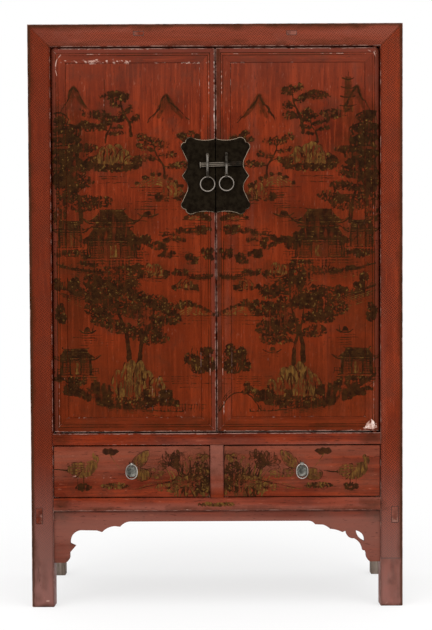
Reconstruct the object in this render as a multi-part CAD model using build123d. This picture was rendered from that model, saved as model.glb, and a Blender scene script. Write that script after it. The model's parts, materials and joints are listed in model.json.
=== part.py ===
from build123d import *
import os
from math import cos, radians, sin, tan

# Two-door cabinet on four posts, with two drawers below the doors and a cut apron between the legs.
# Millimetres. +Z is up, the front faces -Y, and left is -X. The origin is the middle of the footprint.

# Case
WIDTH = 1128
DEPTH = 560
LEG_HEIGHT = 293
BOTTOM_RAIL_HEIGHT = 40
DRAWER_OPENING_HEIGHT = 160
SILL_HEIGHT = 36
DOOR_OPENING_HEIGHT = 1163
TOP_RAIL_HEIGHT = 68
POST_WIDTH = 68
POST_DEPTH = 52
REAR_POST_WIDTH = 34
REAR_POST_DEPTH = 44
TOP_REAR_RAIL_DEPTH = 52
FRONT_RAIL_DEPTH = 44
REAR_RAIL_DEPTH = 34
SIDE_RAIL_WIDTH = 34
SIDE_RAIL_HEIGHT = 52
TENON_LENGTH = 24
REAR_TENON_LENGTH = 16
TENON_INSET = 8
BEAD_WIDTH = 4
BEAD_HEIGHT = 1.5
EDGE_ROUND = 3
TOP_PANEL_THICKNESS = 14
TOP_PANEL_DROP = 3
TOP_BATTEN_WIDTH = 30
TOP_BATTEN_HEIGHT = 24
TOP_BATTEN_OFFSET = 230
TOP_BATTEN_TENON = 12
THROUGH_TENON_WIDTH = 30
PANEL_THICKNESS = 12
PANEL_RECESS = 8
GROOVE_DEPTH = 8
DOOR_STOP_LIP = 8
DOOR_STOP_GAP = 0.5

# Inside
FLOOR_THICKNESS = 12
FLOOR_BEARER_WIDTH = 30
FLOOR_BEARER_HEIGHT = 24
SHELF_THICKNESS = 18
SHELF_HEIGHT = 590
SHELF_SETBACK = 8
SHELF_BEARER_SIZE = 24
DUST_BOARD_THICKNESS = 10
RUNNER_THICKNESS = 18
RUNNER_LEDGE = 30
RUNNER_GUIDE_HEIGHT = 40

# Doors
DOOR_THICKNESS = 28
DOOR_SIDE_GAP = 2
DOOR_TOP_GAP = 5
DOOR_BOTTOM_GAP = 5
DOOR_SPLIT_GAP = 3
STILE_WIDTH = 44
DOOR_RAIL_HEIGHT = 44
DOOR_PANEL_THICKNESS = 12
DOOR_PANEL_SET = 0.5
DOOR_PANEL_GAP = 0.6
TONGUE_THICKNESS = 6
TONGUE_LENGTH = 8
TONGUE_CLEARANCE = 1
BATTEN_HEIGHT = 34
BATTEN_MARGIN = 230
BATTEN_TENON = 12
PIVOT_RADIUS = 7
PIVOT_LENGTH = 15
PIVOT_ROOT = 30
PIVOT_CLEARANCE = 0.08
PIVOT_END_GAP = 0.3
PIVOT_LIFT = 17

# Lock
PLATE_THICKNESS = 2.5
PLATE_HALF_WIDTH = 101
PLATE_HALF_HEIGHT = 112
PLATE_CENTRE_HEIGHT = 776
STAPLE_WIDTH = 7
STAPLE_BAR = 5
STAPLE_PRONG = 14
STAPLE_RISE = 12
STAPLE_OFFSETS = {"left": -24, "right": 33}
WINDOW_RISE = 14
PIN_LENGTH = 127
PIN_HEIGHT = 17
PIN_THICKNESS = 7
PIN_EDGE = 2.5
PIN_CENTRE = (16, 34)
PIN_TILT = 1.7
PIN_CLEARANCE = 0.75
PIN_HEAD_LENGTH = 4
PIN_HEAD_RIM = 2
RING_RADIUS = 21.5
RING_WIRE = 2.5
EYE_WALL = 2.3
EYE_DROP = 29
RING_CLEARANCE = 0.7

# Drawers
DIVIDER_WIDTH = 41
DRAWER_SIDE_GAP = 1.5
DRAWER_TOP_GAP = 3
DRAWER_BOTTOM_GAP = 2.5
DRAWER_FRONT_THICKNESS = 18
DRAWER_BOARD = 12
DRAWER_SIDE_INSET = 0.5
DRAWER_SIDE_HEIGHT = 125
DRAWER_LAP = 10
DRAWER_BOTTOM_THICKNESS = 8
DRAWER_BOTTOM_RISE = 6
DRAWER_GROOVE = 5
DRAWER_REAR_GAP = 0.5
PULL_PLATE_RADIUS = 17
PULL_PLATE_THICKNESS = 1.5
PULL_TAB_WIDTH = 10
PULL_CENTRE_RISE = 80
PULL_RING_WIDTH = 34
PULL_RING_HEIGHT = 44
PULL_WIRE = 2
PULL_EYE_WIDTH = 6
PULL_EYE_RADIUS = 5
PULL_STANDOFF = 6
PULL_CLEARANCE = 0.7

# Apron. Outlines run from the leg inwards and from the underside of the bottom rail downwards.
APRON_THICKNESS = 18
APRON_SETBACK = 6
APRON_TONGUE = 6
APRON_DEPTH = 33
SPANDREL_DROP = 158
LEFT_APRON_LENGTH = 365

# Derived places
UNDER_BOTTOM_RAIL = LEG_HEIGHT
DRAWER_FLOOR = UNDER_BOTTOM_RAIL + BOTTOM_RAIL_HEIGHT
UNDER_SILL = DRAWER_FLOOR + DRAWER_OPENING_HEIGHT
SILL_TOP = UNDER_SILL + SILL_HEIGHT
UNDER_TOP_RAIL = SILL_TOP + DOOR_OPENING_HEIGHT
HEIGHT = UNDER_TOP_RAIL + TOP_RAIL_HEIGHT

HARDWARE_REACH = PLATE_THICKNESS + 2 * PIN_CLEARANCE + PIN_THICKNESS + STAPLE_BAR
FRONT = (HARDWARE_REACH - DEPTH) / 2
BACK = FRONT + DEPTH
OUTER = WIDTH / 2
INNER = OUTER - POST_WIDTH
PANEL_OUTER = OUTER - PANEL_RECESS
PANEL_INNER = PANEL_OUTER - PANEL_THICKNESS
BACK_PANEL_REAR = BACK - PANEL_RECESS
BACK_PANEL_FRONT = BACK_PANEL_REAR - PANEL_THICKNESS
DOOR_BACK = FRONT + DOOR_THICKNESS
DOOR_STOP = DOOR_BACK + DOOR_STOP_GAP
DOOR_LOW = SILL_TOP + DOOR_BOTTOM_GAP
DOOR_HIGH = UNDER_TOP_RAIL - DOOR_TOP_GAP
DOOR_OUTER = INNER - DOOR_SIDE_GAP
HINGE_X = DOOR_OUTER - DOOR_THICKNESS / 2
HINGE_Y = FRONT + DOOR_THICKNESS / 2
FLOOR_TOP = SILL_TOP + FLOOR_THICKNESS
SHELF_UNDER = FLOOR_TOP + SHELF_HEIGHT
RUNNER_UNDER = DRAWER_FLOOR - RUNNER_THICKNESS
DUST_UNDER = RUNNER_UNDER - DUST_BOARD_THICKNESS
SIDE_RAIL_LOW = DUST_UNDER - SIDE_RAIL_HEIGHT
PLATE_CENTRE = SILL_TOP + PLATE_CENTRE_HEIGHT
PLATE_FACE = FRONT - PLATE_THICKNESS
PIN_Y = PLATE_FACE - PIN_CLEARANCE - PIN_THICKNESS / 2
PIN_X = PIN_CENTRE[0]
PIN_Z = PLATE_CENTRE + PIN_CENTRE[1]
EYE_RADIUS = RING_WIRE + RING_CLEARANCE + EYE_WALL
RING_Y = FRONT - HARDWARE_REACH + EYE_RADIUS
PULL_X = (INNER + DIVIDER_WIDTH / 2) / 2
PULL_Z = DRAWER_FLOOR + PULL_CENTRE_RISE
PULL_EYE_Z = PULL_Z + PULL_RING_HEIGHT / 2
PULL_FACE = FRONT - PULL_PLATE_THICKNESS
PULL_Y = PULL_FACE - PULL_STANDOFF

SIDES = {"left": -1, "right": 1}


def block(x0, x1, y0, y1, z0, z1):
    """A box between two corners, given in any order along x."""
    middle = Pos((x0 + x1) / 2, (y0 + y1) / 2, (z0 + z1) / 2)
    return middle * Box(abs(x1 - x0), y1 - y0, z1 - z0)


def sided(side, part):
    """A part built for the right, put on its side."""
    return part if side == "right" else mirror(part, about=Plane.YZ)


def both(part):
    """A part built for the right, with its mirror image beside it."""
    return group(part, mirror(part, about=Plane.YZ))


def group(*parts):
    """Separate solids of one node."""
    return Compound(children=[solid for part in parts for solid in part.solids()])


def rod(radius, x, y, z0, z1):
    """An upright cylinder."""
    return Pos(x, y, (z0 + z1) / 2) * Cylinder(radius, z1 - z0)


def cross_rod(radius, length, x, y, z):
    """A cylinder along X."""
    return Pos(x, y, z) * Rot(0, 90, 0) * Cylinder(radius, length)


def outline(start, *steps):
    """A closed face in the XZ plane. A step is an end point, or a middle and an end point of an arc."""
    lines = []
    here = start
    for step in (*steps, start):
        if isinstance(step[0], tuple):
            lines.append(ThreePointArc(on_front(here), on_front(step[0]), on_front(step[1])))
            here = step[1]
        elif step != here:
            lines.append(Line(on_front(here), on_front(step)))
            here = step
    return make_face(Curve() + lines)


def on_front(point):
    """A point of an outline as a point in space, in the plane y = 0."""
    return (point[0], 0, point[1])


def plate(face, front, back):
    """An outline made into a board between two depths."""
    return Pos(0, back, 0) * extrude(face, amount=back - front, dir=(0, -1, 0))


# Top frame: post, front rail and side rail meet in a three-way mitre
CORNER = {"across": POST_WIDTH, "back": POST_DEPTH, "down": TOP_RAIL_HEIGHT}
REAR_CORNER = {"across": POST_WIDTH, "back": TOP_REAR_RAIL_DEPTH, "down": TOP_RAIL_HEIGHT}


def corner_wedge(more, less, rear=False):
    """Half of the right top corner block: what lies further along one way than along another."""
    reach = REAR_CORNER if rear else CORNER

    def at(**share):
        across, back, down = (share.get(way, 0) * reach[way] for way in reach)
        return Vector(OUTER - across, BACK - back if rear else FRONT + back, HEIGHT - down)

    third = next(way for way in reach if way not in (more, less))
    triangle = make_face(Polyline(at(), at(**{more: 1}), at(**{more: 1, less: 1}), close=True))
    along = at(**{third: 1}) - at()
    wedge = extrude(triangle, amount=along.length, dir=along.normalized())
    if third == "back":
        wedge += extrude(triangle, amount=BEAD_HEIGHT, dir=-along.normalized())
    return wedge


def bead(length, x0, x1, z):
    """A small half-round moulding that stands on the front face, along Z from a height."""
    middle = ((x0 + x1) / 2, FRONT - BEAD_HEIGHT, z)
    arc = ThreePointArc((x0, FRONT, z), middle, (x1, FRONT, z))
    return extrude(make_face(arc + Line((x1, FRONT, z), (x0, FRONT, z))), amount=length, dir=(0, 0, 1))


def cross_bead(x, z):
    """The same moulding along X, above a height, from -x to x."""
    upright = bead(2 * x, 0, BEAD_WIDTH, -x)
    return Pos(0, 0, z + BEAD_WIDTH) * Rot(0, 90, 0) * upright


def rounded(part, edges):
    """A part with worn, rounded edges."""
    return fillet(edges, EDGE_ROUND)


def make_front_post():
    post = block(INNER, OUTER, FRONT, FRONT + POST_DEPTH, 0, HEIGHT)
    outer_edge = post.edges().filter_by(Axis.Z).group_by(Axis.X)[-1].sort_by(Axis.Y)[0]
    post = rounded(post, outer_edge)
    post += bead(UNDER_TOP_RAIL + BEAD_WIDTH, INNER, INNER + BEAD_WIDTH, 0)
    return post - corner_wedge("across", "down") - corner_wedge("back", "down")


def make_top_front_rail():
    rail = block(-OUTER, OUTER, FRONT, FRONT + POST_DEPTH, UNDER_TOP_RAIL, HEIGHT)
    top_edge = rail.edges().filter_by(Axis.X).group_by(Axis.Z)[-1].sort_by(Axis.Y)[0]
    rail = rounded(rail, top_edge)
    rail += cross_bead(INNER + BEAD_WIDTH, UNDER_TOP_RAIL)
    lip_under = UNDER_TOP_RAIL - DOOR_STOP_LIP
    rail += block(-INNER, INNER, DOOR_STOP, FRONT + POST_DEPTH, lip_under, UNDER_TOP_RAIL)
    for wedge in (corner_wedge("down", "across"), corner_wedge("back", "across")):
        rail = rail - wedge - mirror(wedge, about=Plane.YZ)
    return rail


def make_top_side_rail():
    rail = block(INNER, OUTER, FRONT, BACK, UNDER_TOP_RAIL, HEIGHT)
    top_edge = rail.edges().filter_by(Axis.Y).group_by(Axis.Z)[-1].sort_by(Axis.X)[-1]
    rail = rounded(rail, top_edge)
    rail = rail - corner_wedge("across", "back") - corner_wedge("down", "back")
    return rail - corner_wedge("across", "back", rear=True)


def make_top_rear_rail():
    rail = block(-OUTER, OUTER, BACK - TOP_REAR_RAIL_DEPTH, BACK, UNDER_TOP_RAIL, HEIGHT)
    wedge = corner_wedge("back", "across", rear=True)
    return rail - wedge - mirror(wedge, about=Plane.YZ)


def make_top_panel():
    low = HEIGHT - TOP_PANEL_DROP - TOP_PANEL_THICKNESS
    high = HEIGHT - TOP_PANEL_DROP
    half_length = INNER
    panel = block(-half_length, half_length, FRONT + POST_DEPTH, BACK - TOP_REAR_RAIL_DEPTH, low, high)
    middle = (low + high) / 2
    tongue = block(
        -half_length - GROOVE_DEPTH,
        half_length + GROOVE_DEPTH,
        FRONT + POST_DEPTH - GROOVE_DEPTH,
        BACK - TOP_REAR_RAIL_DEPTH + GROOVE_DEPTH,
        low,
        middle,
    )
    return panel + tongue


def make_top_batten():
    high = HEIGHT - TOP_PANEL_DROP - TOP_PANEL_THICKNESS
    low = high - TOP_BATTEN_HEIGHT
    x0 = TOP_BATTEN_OFFSET - TOP_BATTEN_WIDTH / 2
    x1 = TOP_BATTEN_OFFSET + TOP_BATTEN_WIDTH / 2
    batten = block(x0, x1, FRONT + POST_DEPTH, BACK - TOP_REAR_RAIL_DEPTH, low, high)
    middle = (low + high) / 2
    return batten + block(x0, x1, FRONT, BACK, middle - TOP_BATTEN_TENON / 2, middle + TOP_BATTEN_TENON / 2)


# Rails between the posts
def make_front_rail(low, high, bead_heights):
    """A front rail with a stub tenon in each post and a bead on its face above each given height."""
    rail = block(-INNER, INNER, FRONT, FRONT + FRONT_RAIL_DEPTH, low, high)
    for height in bead_heights:
        rail += cross_bead(INNER, height)
    reach = INNER + TENON_LENGTH
    y0 = FRONT + TENON_INSET
    y1 = FRONT + FRONT_RAIL_DEPTH - TENON_INSET
    return rail + block(-reach, reach, y0, y1, low + TENON_INSET, high - TENON_INSET)


def make_rear_rail():
    low = SIDE_RAIL_LOW
    reach = OUTER - REAR_POST_WIDTH
    rail = block(-reach, reach, BACK - REAR_RAIL_DEPTH, BACK, low, DUST_UNDER)
    reach += TENON_LENGTH
    y0 = BACK - REAR_RAIL_DEPTH + TENON_INSET
    return rail + block(-reach, reach, y0, BACK - TENON_INSET, low + TENON_INSET, DUST_UNDER - TENON_INSET)


def make_side_rail():
    """A bottom side rail, whose front tenon goes right through the post."""
    low = SIDE_RAIL_LOW
    inner = OUTER - SIDE_RAIL_WIDTH
    rail = block(inner, OUTER, FRONT + POST_DEPTH, BACK - REAR_POST_DEPTH, low, DUST_UNDER)
    low += TENON_INSET / 4
    high = DUST_UNDER - TENON_INSET / 4
    tenon_outer = inner + THROUGH_TENON_WIDTH
    rail += block(inner, tenon_outer, FRONT, FRONT + POST_DEPTH, low, high)
    y1 = BACK - REAR_POST_DEPTH + REAR_TENON_LENGTH
    rear_x = (inner + TENON_INSET, OUTER - TENON_INSET)
    return rail + block(*rear_x, BACK - REAR_POST_DEPTH, y1, low + TENON_INSET, high - TENON_INSET)


def make_rear_post():
    return block(OUTER - REAR_POST_WIDTH, OUTER, BACK - REAR_POST_DEPTH, BACK, 0, UNDER_TOP_RAIL)


def make_divider():
    half = DIVIDER_WIDTH / 2
    post = block(-half, half, FRONT, FRONT + FRONT_RAIL_DEPTH, DRAWER_FLOOR, UNDER_SILL)
    y0 = FRONT + TENON_INSET
    y1 = FRONT + FRONT_RAIL_DEPTH - TENON_INSET
    post += both(bead(DRAWER_OPENING_HEIGHT, half - BEAD_WIDTH, half, DRAWER_FLOOR))
    half -= TENON_INSET
    return post + block(-half, half, y0, y1, DRAWER_FLOOR - TENON_LENGTH / 2, UNDER_SILL + TENON_LENGTH / 2)


def make_side_panel():
    y0 = FRONT + POST_DEPTH - GROOVE_DEPTH
    y1 = BACK - REAR_POST_DEPTH + GROOVE_DEPTH
    return block(PANEL_INNER, PANEL_OUTER, y0, y1, DUST_UNDER - GROOVE_DEPTH, UNDER_TOP_RAIL + GROOVE_DEPTH)


def make_back_panel():
    reach = OUTER - REAR_POST_WIDTH + GROOVE_DEPTH
    low = DUST_UNDER - GROOVE_DEPTH
    high = UNDER_TOP_RAIL + GROOVE_DEPTH
    return block(-reach, reach, BACK_PANEL_FRONT, BACK_PANEL_REAR, low, high)


def inside_board(front, low, thickness, rear_posts):
    """A board that fills the case from side panel to side panel, notched round the rear posts."""
    board = block(-PANEL_INNER, PANEL_INNER, front, BACK_PANEL_FRONT, low, low + thickness)
    return board - rear_posts


def make_floor_bearers(rear_posts):
    low = SILL_TOP - FLOOR_BEARER_HEIGHT
    inner = PANEL_INNER - FLOOR_BEARER_WIDTH
    rear = BACK_PANEL_FRONT - FLOOR_BEARER_WIDTH
    side = block(inner, PANEL_INNER, FRONT + POST_DEPTH, BACK_PANEL_FRONT, low, SILL_TOP) - rear_posts
    back = block(-inner, inner, rear, BACK_PANEL_FRONT, low, SILL_TOP)
    return group(both(side), back)


def make_shelf_bearer(rear_posts):
    inner = PANEL_INNER - SHELF_BEARER_SIZE
    front = FRONT + POST_DEPTH + SHELF_SETBACK
    low = SHELF_UNDER - SHELF_BEARER_SIZE
    return block(inner, PANEL_INNER, front, BACK_PANEL_FRONT, low, SHELF_UNDER) - rear_posts


def make_runners(posts):
    """Side runners and a middle runner, each a ledge with a guide beside the drawer."""
    front = FRONT + FRONT_RAIL_DEPTH
    guide_top = DRAWER_FLOOR + RUNNER_GUIDE_HEIGHT
    side = block(INNER - RUNNER_LEDGE, PANEL_INNER, front, BACK_PANEL_FRONT, RUNNER_UNDER, DRAWER_FLOOR)
    side += block(INNER, PANEL_INNER, front, BACK_PANEL_FRONT, DRAWER_FLOOR, guide_top)
    side -= posts
    half = DIVIDER_WIDTH / 2
    reach = half + RUNNER_LEDGE
    middle = block(-reach, reach, front, BACK_PANEL_FRONT, RUNNER_UNDER, DRAWER_FLOOR)
    middle += block(-half, half, front, BACK_PANEL_FRONT, DRAWER_FLOOR, guide_top)
    return group(both(side), middle)


# Apron
def from_leg(side, *points):
    """Outline points given as (distance from the leg, distance below the bottom rail)."""
    sign = SIDES[side]
    return [(sign * (INNER - across), UNDER_BOTTOM_RAIL - down) for across, down in points]


def left_apron_outline():
    drop = SPANDREL_DROP
    top, foot, toe, heel = from_leg("left", (0, -APRON_TONGUE), (0, drop), (33, drop), (47, drop - 17))
    toe_round, neck, stub, stub_back = from_leg("left", (43, drop - 7), (47, 128), (65, 107), (49, 100))
    arch_mid, arch, flat, cusp = from_leg("left", (58, 71), (80, 59), (130, 60), (146, 65))
    rise_mid, rise, tip = from_leg("left", (164, 52), (186, 47), (201, 49))
    sweep_mid, sweep_end = from_leg("left", (214, 38), (231, APRON_DEPTH))
    length = LEFT_APRON_LENGTH
    seam_low, seam_top = from_leg("left", (length, APRON_DEPTH), (length, -APRON_TONGUE))
    steps = (foot, toe, (toe_round, heel), neck, stub, stub_back, (arch_mid, arch), flat, cusp)
    return outline(top, *steps, (rise_mid, rise), tip, (sweep_mid, sweep_end), seam_low, seam_top)


def right_apron_outline():
    drop = SPANDREL_DROP
    top, foot, toe, heel = from_leg("right", (0, -APRON_TONGUE), (0, drop), (31, drop), (43, drop - 23))
    toe_round, notch, shelf = from_leg("right", (41, drop - 11), (46, 125), (54, 123))
    body_mid, body, curl_mid, curl = from_leg("right", (63, 101), (80, 87), (97, 82), (104, 64))
    cusp, wave_mid, wave = from_leg("right", (115, 68), (133, 61), (152, 58))
    rise_mid, rise, tip = from_leg("right", (161, 51), (174, 45), (198, 44))
    sweep_mid, sweep_end = from_leg("right", (205, 37), (217, APRON_DEPTH))
    length = 2 * INNER - LEFT_APRON_LENGTH
    seam_low, seam_top = from_leg("right", (length, APRON_DEPTH), (length, -APRON_TONGUE))
    steps = (foot, toe, (toe_round, heel), notch, shelf, (body_mid, body), (curl_mid, curl), cusp)
    ends = ((wave_mid, wave), (rise_mid, rise), tip, (sweep_mid, sweep_end), seam_low, seam_top)
    return outline(top, *steps, *ends)


def right_apron_piercing():
    """The leaf-shaped hole in the whole right spandrel."""
    start, top_mid, tip, low_mid = from_leg("right", (74, 63), (58, 71), (48, 96), (66, 83))
    return outline(start, (top_mid, tip), (low_mid, start))


def make_apron(face):
    front = FRONT + APRON_SETBACK
    return plate(face, front, front + APRON_THICKNESS)


# Doors, built for the right
def door_envelope():
    """The room a door fills: its hinge edge is half round about the pivots."""
    z0, z1 = DOOR_LOW, DOOR_HIGH
    return block(0, HINGE_X, FRONT, DOOR_BACK, z0, z1) + rod(DOOR_THICKNESS / 2, HINGE_X, HINGE_Y, z0, z1)


def make_door(side):
    """The boards of one door, by the name of each."""
    z0, z1 = DOOR_LOW, DOOR_HIGH
    x0 = DOOR_SPLIT_GAP / 2
    x1 = DOOR_OUTER
    x0_in, x1_in = x0 + STILE_WIDTH, x1 - STILE_WIDTH
    z0_in, z1_in = z0 + DOOR_RAIL_HEIGHT, z1 - DOOR_RAIL_HEIGHT
    shapes = {
        "hinge_stile": outline((x1, z0), (x1, z1), (x1_in, z1_in), (x1_in, z0_in)),
        "lock_stile": outline((x0, z0), (x0_in, z0_in), (x0_in, z1_in), (x0, z1)),
        "top_rail": outline((x0, z1), (x0_in, z1_in), (x1_in, z1_in), (x1, z1)),
        "bottom_rail": outline((x0, z0), (x1, z0), (x1_in, z0_in), (x0_in, z0_in)),
    }
    envelope = door_envelope()
    boards = {name: plate(shape, FRONT, DOOR_BACK) & envelope for name, shape in shapes.items()}

    panel_back = FRONT + DOOR_PANEL_THICKNESS
    gap = DOOR_PANEL_GAP
    panel = block(x0_in + gap, x1_in - gap, FRONT + DOOR_PANEL_SET, panel_back, z0_in + gap, z1_in - gap)
    tongue_front = panel_back - TONGUE_THICKNESS

    def tongue(reach):
        return block(x0_in - reach, x1_in + reach, tongue_front, panel_back, z0_in - reach, z1_in + reach)

    battens = []
    for height in (z0 + BATTEN_MARGIN, z1 - BATTEN_MARGIN):
        low, high = height - BATTEN_HEIGHT / 2, height + BATTEN_HEIGHT / 2
        batten = block(x0_in, x1_in, panel_back, DOOR_BACK, low, high)
        tenon_y = (panel_back, (panel_back + DOOR_BACK) / 2)
        battens.append(batten + block(x0_in - BATTEN_TENON, x1_in + BATTEN_TENON, *tenon_y, low, high))

    pivots = rod(PIVOT_RADIUS, HINGE_X, HINGE_Y, z0 - PIVOT_LENGTH, z0 + PIVOT_ROOT)
    pivots += rod(PIVOT_RADIUS, HINGE_X, HINGE_Y, z1 - PIVOT_ROOT, z1 + PIVOT_LENGTH)
    for name in shapes:
        boards[name] -= tongue(TONGUE_LENGTH + TONGUE_CLEARANCE)
        for batten in battens:
            boards[name] -= batten
        if name == "hinge_stile":
            boards[name] += pivots
        else:
            boards[name] -= pivots
    boards["panel"] = panel + tongue(TONGUE_LENGTH)
    boards["battens"] = group(*battens)
    return {name: sided(side, board) for name, board in boards.items()}


def make_pivot_holes():
    """The sockets of the right door's pivots: the upper one is deeper, so that the door lifts off."""
    radius = PIVOT_RADIUS + PIVOT_CLEARANCE
    low = DOOR_LOW - PIVOT_LENGTH - PIVOT_END_GAP
    high = DOOR_HIGH + PIVOT_LENGTH + PIVOT_LIFT
    lower = rod(radius, HINGE_X, HINGE_Y, low, SILL_TOP)
    upper = rod(radius, HINGE_X, HINGE_Y, UNDER_TOP_RAIL - DOOR_STOP_LIP, high)
    return lower, upper


# Lock
def lock_plate_outline():
    """The right half of the lobed plate, about its centre on the door split."""
    split = DOOR_SPLIT_GAP / 2 / PLATE_HALF_WIDTH

    def at(across, up):
        """A point given as shares of the plate's half width and half height."""
        return (across * PLATE_HALF_WIDTH, PLATE_CENTRE + up * PLATE_HALF_HEIGHT)

    return outline(
        at(split, 0.99),
        (at(0.33, 0.955), at(0.64, 1)),
        (at(0.82, 1.01), at(0.9, 0.9)),
        (at(1.02, 0.83), at(1, 0.7)),
        at(0.85, 0.41),
        (at(0.83, 0.3), at(0.89, 0.14)),
        at(1, 0),
        at(0.89, -0.14),
        (at(0.83, -0.3), at(0.85, -0.41)),
        at(1, -0.7),
        (at(1.02, -0.83), at(0.9, -0.9)),
        (at(0.82, -1.01), at(0.64, -1)),
        (at(0.33, -0.955), at(split, -0.99)),
    )


def pin_height_at(x):
    """The height of the pin's centre line at a place along it."""
    return PIN_Z + (x - PIN_X) * tan(radians(PIN_TILT))


def make_staple(side):
    """A strap that stands off the plate, with a window for the pin and an eye for the ring."""
    x = STAPLE_OFFSETS[side]
    x0, x1 = x - STAPLE_WIDTH / 2, x + STAPLE_WIDTH / 2
    half_pin = PIN_HEIGHT / 2 / cos(radians(PIN_TILT))
    window_low = pin_height_at(x0) - half_pin - PIN_CLEARANCE
    window_high = pin_height_at(x1) + half_pin + WINDOW_RISE
    top = window_high + STAPLE_RISE
    eye_z = pin_height_at(x) - EYE_DROP - PIN_HEIGHT / 2
    bar_y = FRONT - HARDWARE_REACH
    strap = block(x0, x1, bar_y, PLATE_FACE, eye_z, top)
    crown = strap.edges().filter_by(Axis.X).group_by(Axis.Z)[-1].sort_by(Axis.Y)[0]
    strap = fillet(crown, STAPLE_RISE / 2)
    strap -= block(x0, x1, bar_y, RING_Y, eye_z, eye_z + EYE_RADIUS)
    strap += cross_rod(EYE_RADIUS, STAPLE_WIDTH, x, RING_Y, eye_z)
    strap -= block(x0, x1, bar_y + STAPLE_BAR, PLATE_FACE, window_low, window_high)
    for low, high in ((window_high, top - STAPLE_RISE / 4), (eye_z, eye_z + STAPLE_RISE)):
        strap += block(x0 + 1, x1 - 1, PLATE_FACE, FRONT + STAPLE_PRONG, low, high)
    return strap - cross_rod(RING_WIRE + RING_CLEARANCE, STAPLE_WIDTH, x, RING_Y, eye_z), eye_z


def make_ring(side, eye_z):
    ring = Torus(RING_RADIUS, RING_WIRE)
    return Pos(STAPLE_OFFSETS[side], RING_Y, eye_z - RING_RADIUS) * Rot(90, 0, 0) * ring


def make_lock_pin():
    """A flat bar with rounded long edges and a low flange at its left end, tilted with the staples."""
    bar = Box(PIN_LENGTH, PIN_THICKNESS, PIN_HEIGHT)
    bar = fillet(bar.edges().filter_by(Axis.X), PIN_EDGE)
    head = Box(PIN_HEAD_LENGTH, PIN_THICKNESS, PIN_HEIGHT + 2 * PIN_HEAD_RIM)
    head = fillet(head.edges().filter_by(Axis.X), PIN_EDGE)
    bar += Pos((PIN_HEAD_LENGTH - PIN_LENGTH) / 2, 0, 0) * head
    return Pos(PIN_X, PIN_Y, PIN_Z) * Rot(0, -PIN_TILT, 0) * bar


# Drawers, built for the right
def make_drawer(side):
    """The boards of one drawer, by the name of each."""
    x0 = DIVIDER_WIDTH / 2 + DRAWER_SIDE_GAP
    x1 = INNER - DRAWER_SIDE_GAP
    face_back = FRONT + DRAWER_FRONT_THICKNESS
    rear = BACK_PANEL_FRONT - DRAWER_REAR_GAP
    front = block(x0, x1, FRONT, face_back, DRAWER_FLOOR + DRAWER_BOTTOM_GAP, UNDER_SILL - DRAWER_TOP_GAP)
    face_edges = front.faces().sort_by(Axis.Y)[0].edges()
    front = fillet(face_edges, EDGE_ROUND / 2)

    side_low, side_high = DRAWER_FLOOR, DRAWER_FLOOR + DRAWER_SIDE_HEIGHT
    lefts = (x0 + DRAWER_SIDE_INSET, x1 - DRAWER_SIDE_INSET - DRAWER_BOARD)
    side_front = face_back - DRAWER_LAP
    side_boards = [block(x, x + DRAWER_BOARD, side_front, rear, side_low, side_high) for x in lefts]
    inner0, inner1 = lefts[0] + DRAWER_BOARD, lefts[1]

    bottom_low = DRAWER_FLOOR + DRAWER_BOTTOM_RISE
    bottom_high = bottom_low + DRAWER_BOTTOM_THICKNESS
    groove = DRAWER_GROOVE
    bottom = block(inner0 - groove, inner1 + groove, face_back - groove, rear, bottom_low, bottom_high)
    back = block(inner0, inner1, rear - DRAWER_BOARD, rear, bottom_high, side_high)
    side_boards = [board - bottom for board in side_boards]
    front = front - bottom - side_boards[0] - side_boards[1]
    boards = {
        "drawer_front": front,
        "drawer_sides": group(*side_boards),
        "drawer_back": back,
        "drawer_bottom": bottom,
    }
    return {name: sided(side, board) for name, board in boards.items()}


def make_pull(side):
    """A round back plate with an eye at its top, and the oval ring that hangs from the eye."""
    tab_x = PULL_TAB_WIDTH / 2
    tab_top = PULL_EYE_Z + PULL_EYE_RADIUS
    disc = Rot(90, 0, 0) * Cylinder(PULL_PLATE_RADIUS, PULL_PLATE_THICKNESS)
    base = Pos(PULL_X, (FRONT + PULL_FACE) / 2, PULL_Z) * disc
    base += block(PULL_X - tab_x, PULL_X + tab_x, PULL_FACE, FRONT, PULL_Z, tab_top)
    eye_x = PULL_EYE_WIDTH / 2
    eye_z = (PULL_EYE_Z - PULL_EYE_RADIUS, PULL_EYE_Z + PULL_EYE_RADIUS)
    base += block(PULL_X - eye_x, PULL_X + eye_x, PULL_Y, PULL_FACE, *eye_z)
    base += cross_rod(PULL_EYE_RADIUS, PULL_EYE_WIDTH, PULL_X, PULL_Y, PULL_EYE_Z)
    base -= cross_rod(PULL_WIRE + PULL_CLEARANCE, PULL_EYE_WIDTH, PULL_X, PULL_Y, PULL_EYE_Z)

    radius = PULL_RING_WIDTH / 2
    straight = PULL_RING_HEIGHT / 2 - radius
    oval = outline(
        (-radius, straight),
        ((0, straight + radius), (radius, straight)),
        (radius, -straight),
        ((0, -straight - radius), (-radius, -straight)),
    )
    path = oval.face().outer_wire()
    section = Plane(path.position_at(0), z_dir=path.tangent_at(0)) * Circle(PULL_WIRE)
    ring = Pos(PULL_X, PULL_Y, PULL_EYE_Z - PULL_RING_HEIGHT / 2) * sweep(section, path=path)
    return {"pull_plate": sided(side, base), "pull_ring": sided(side, ring)}


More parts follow.
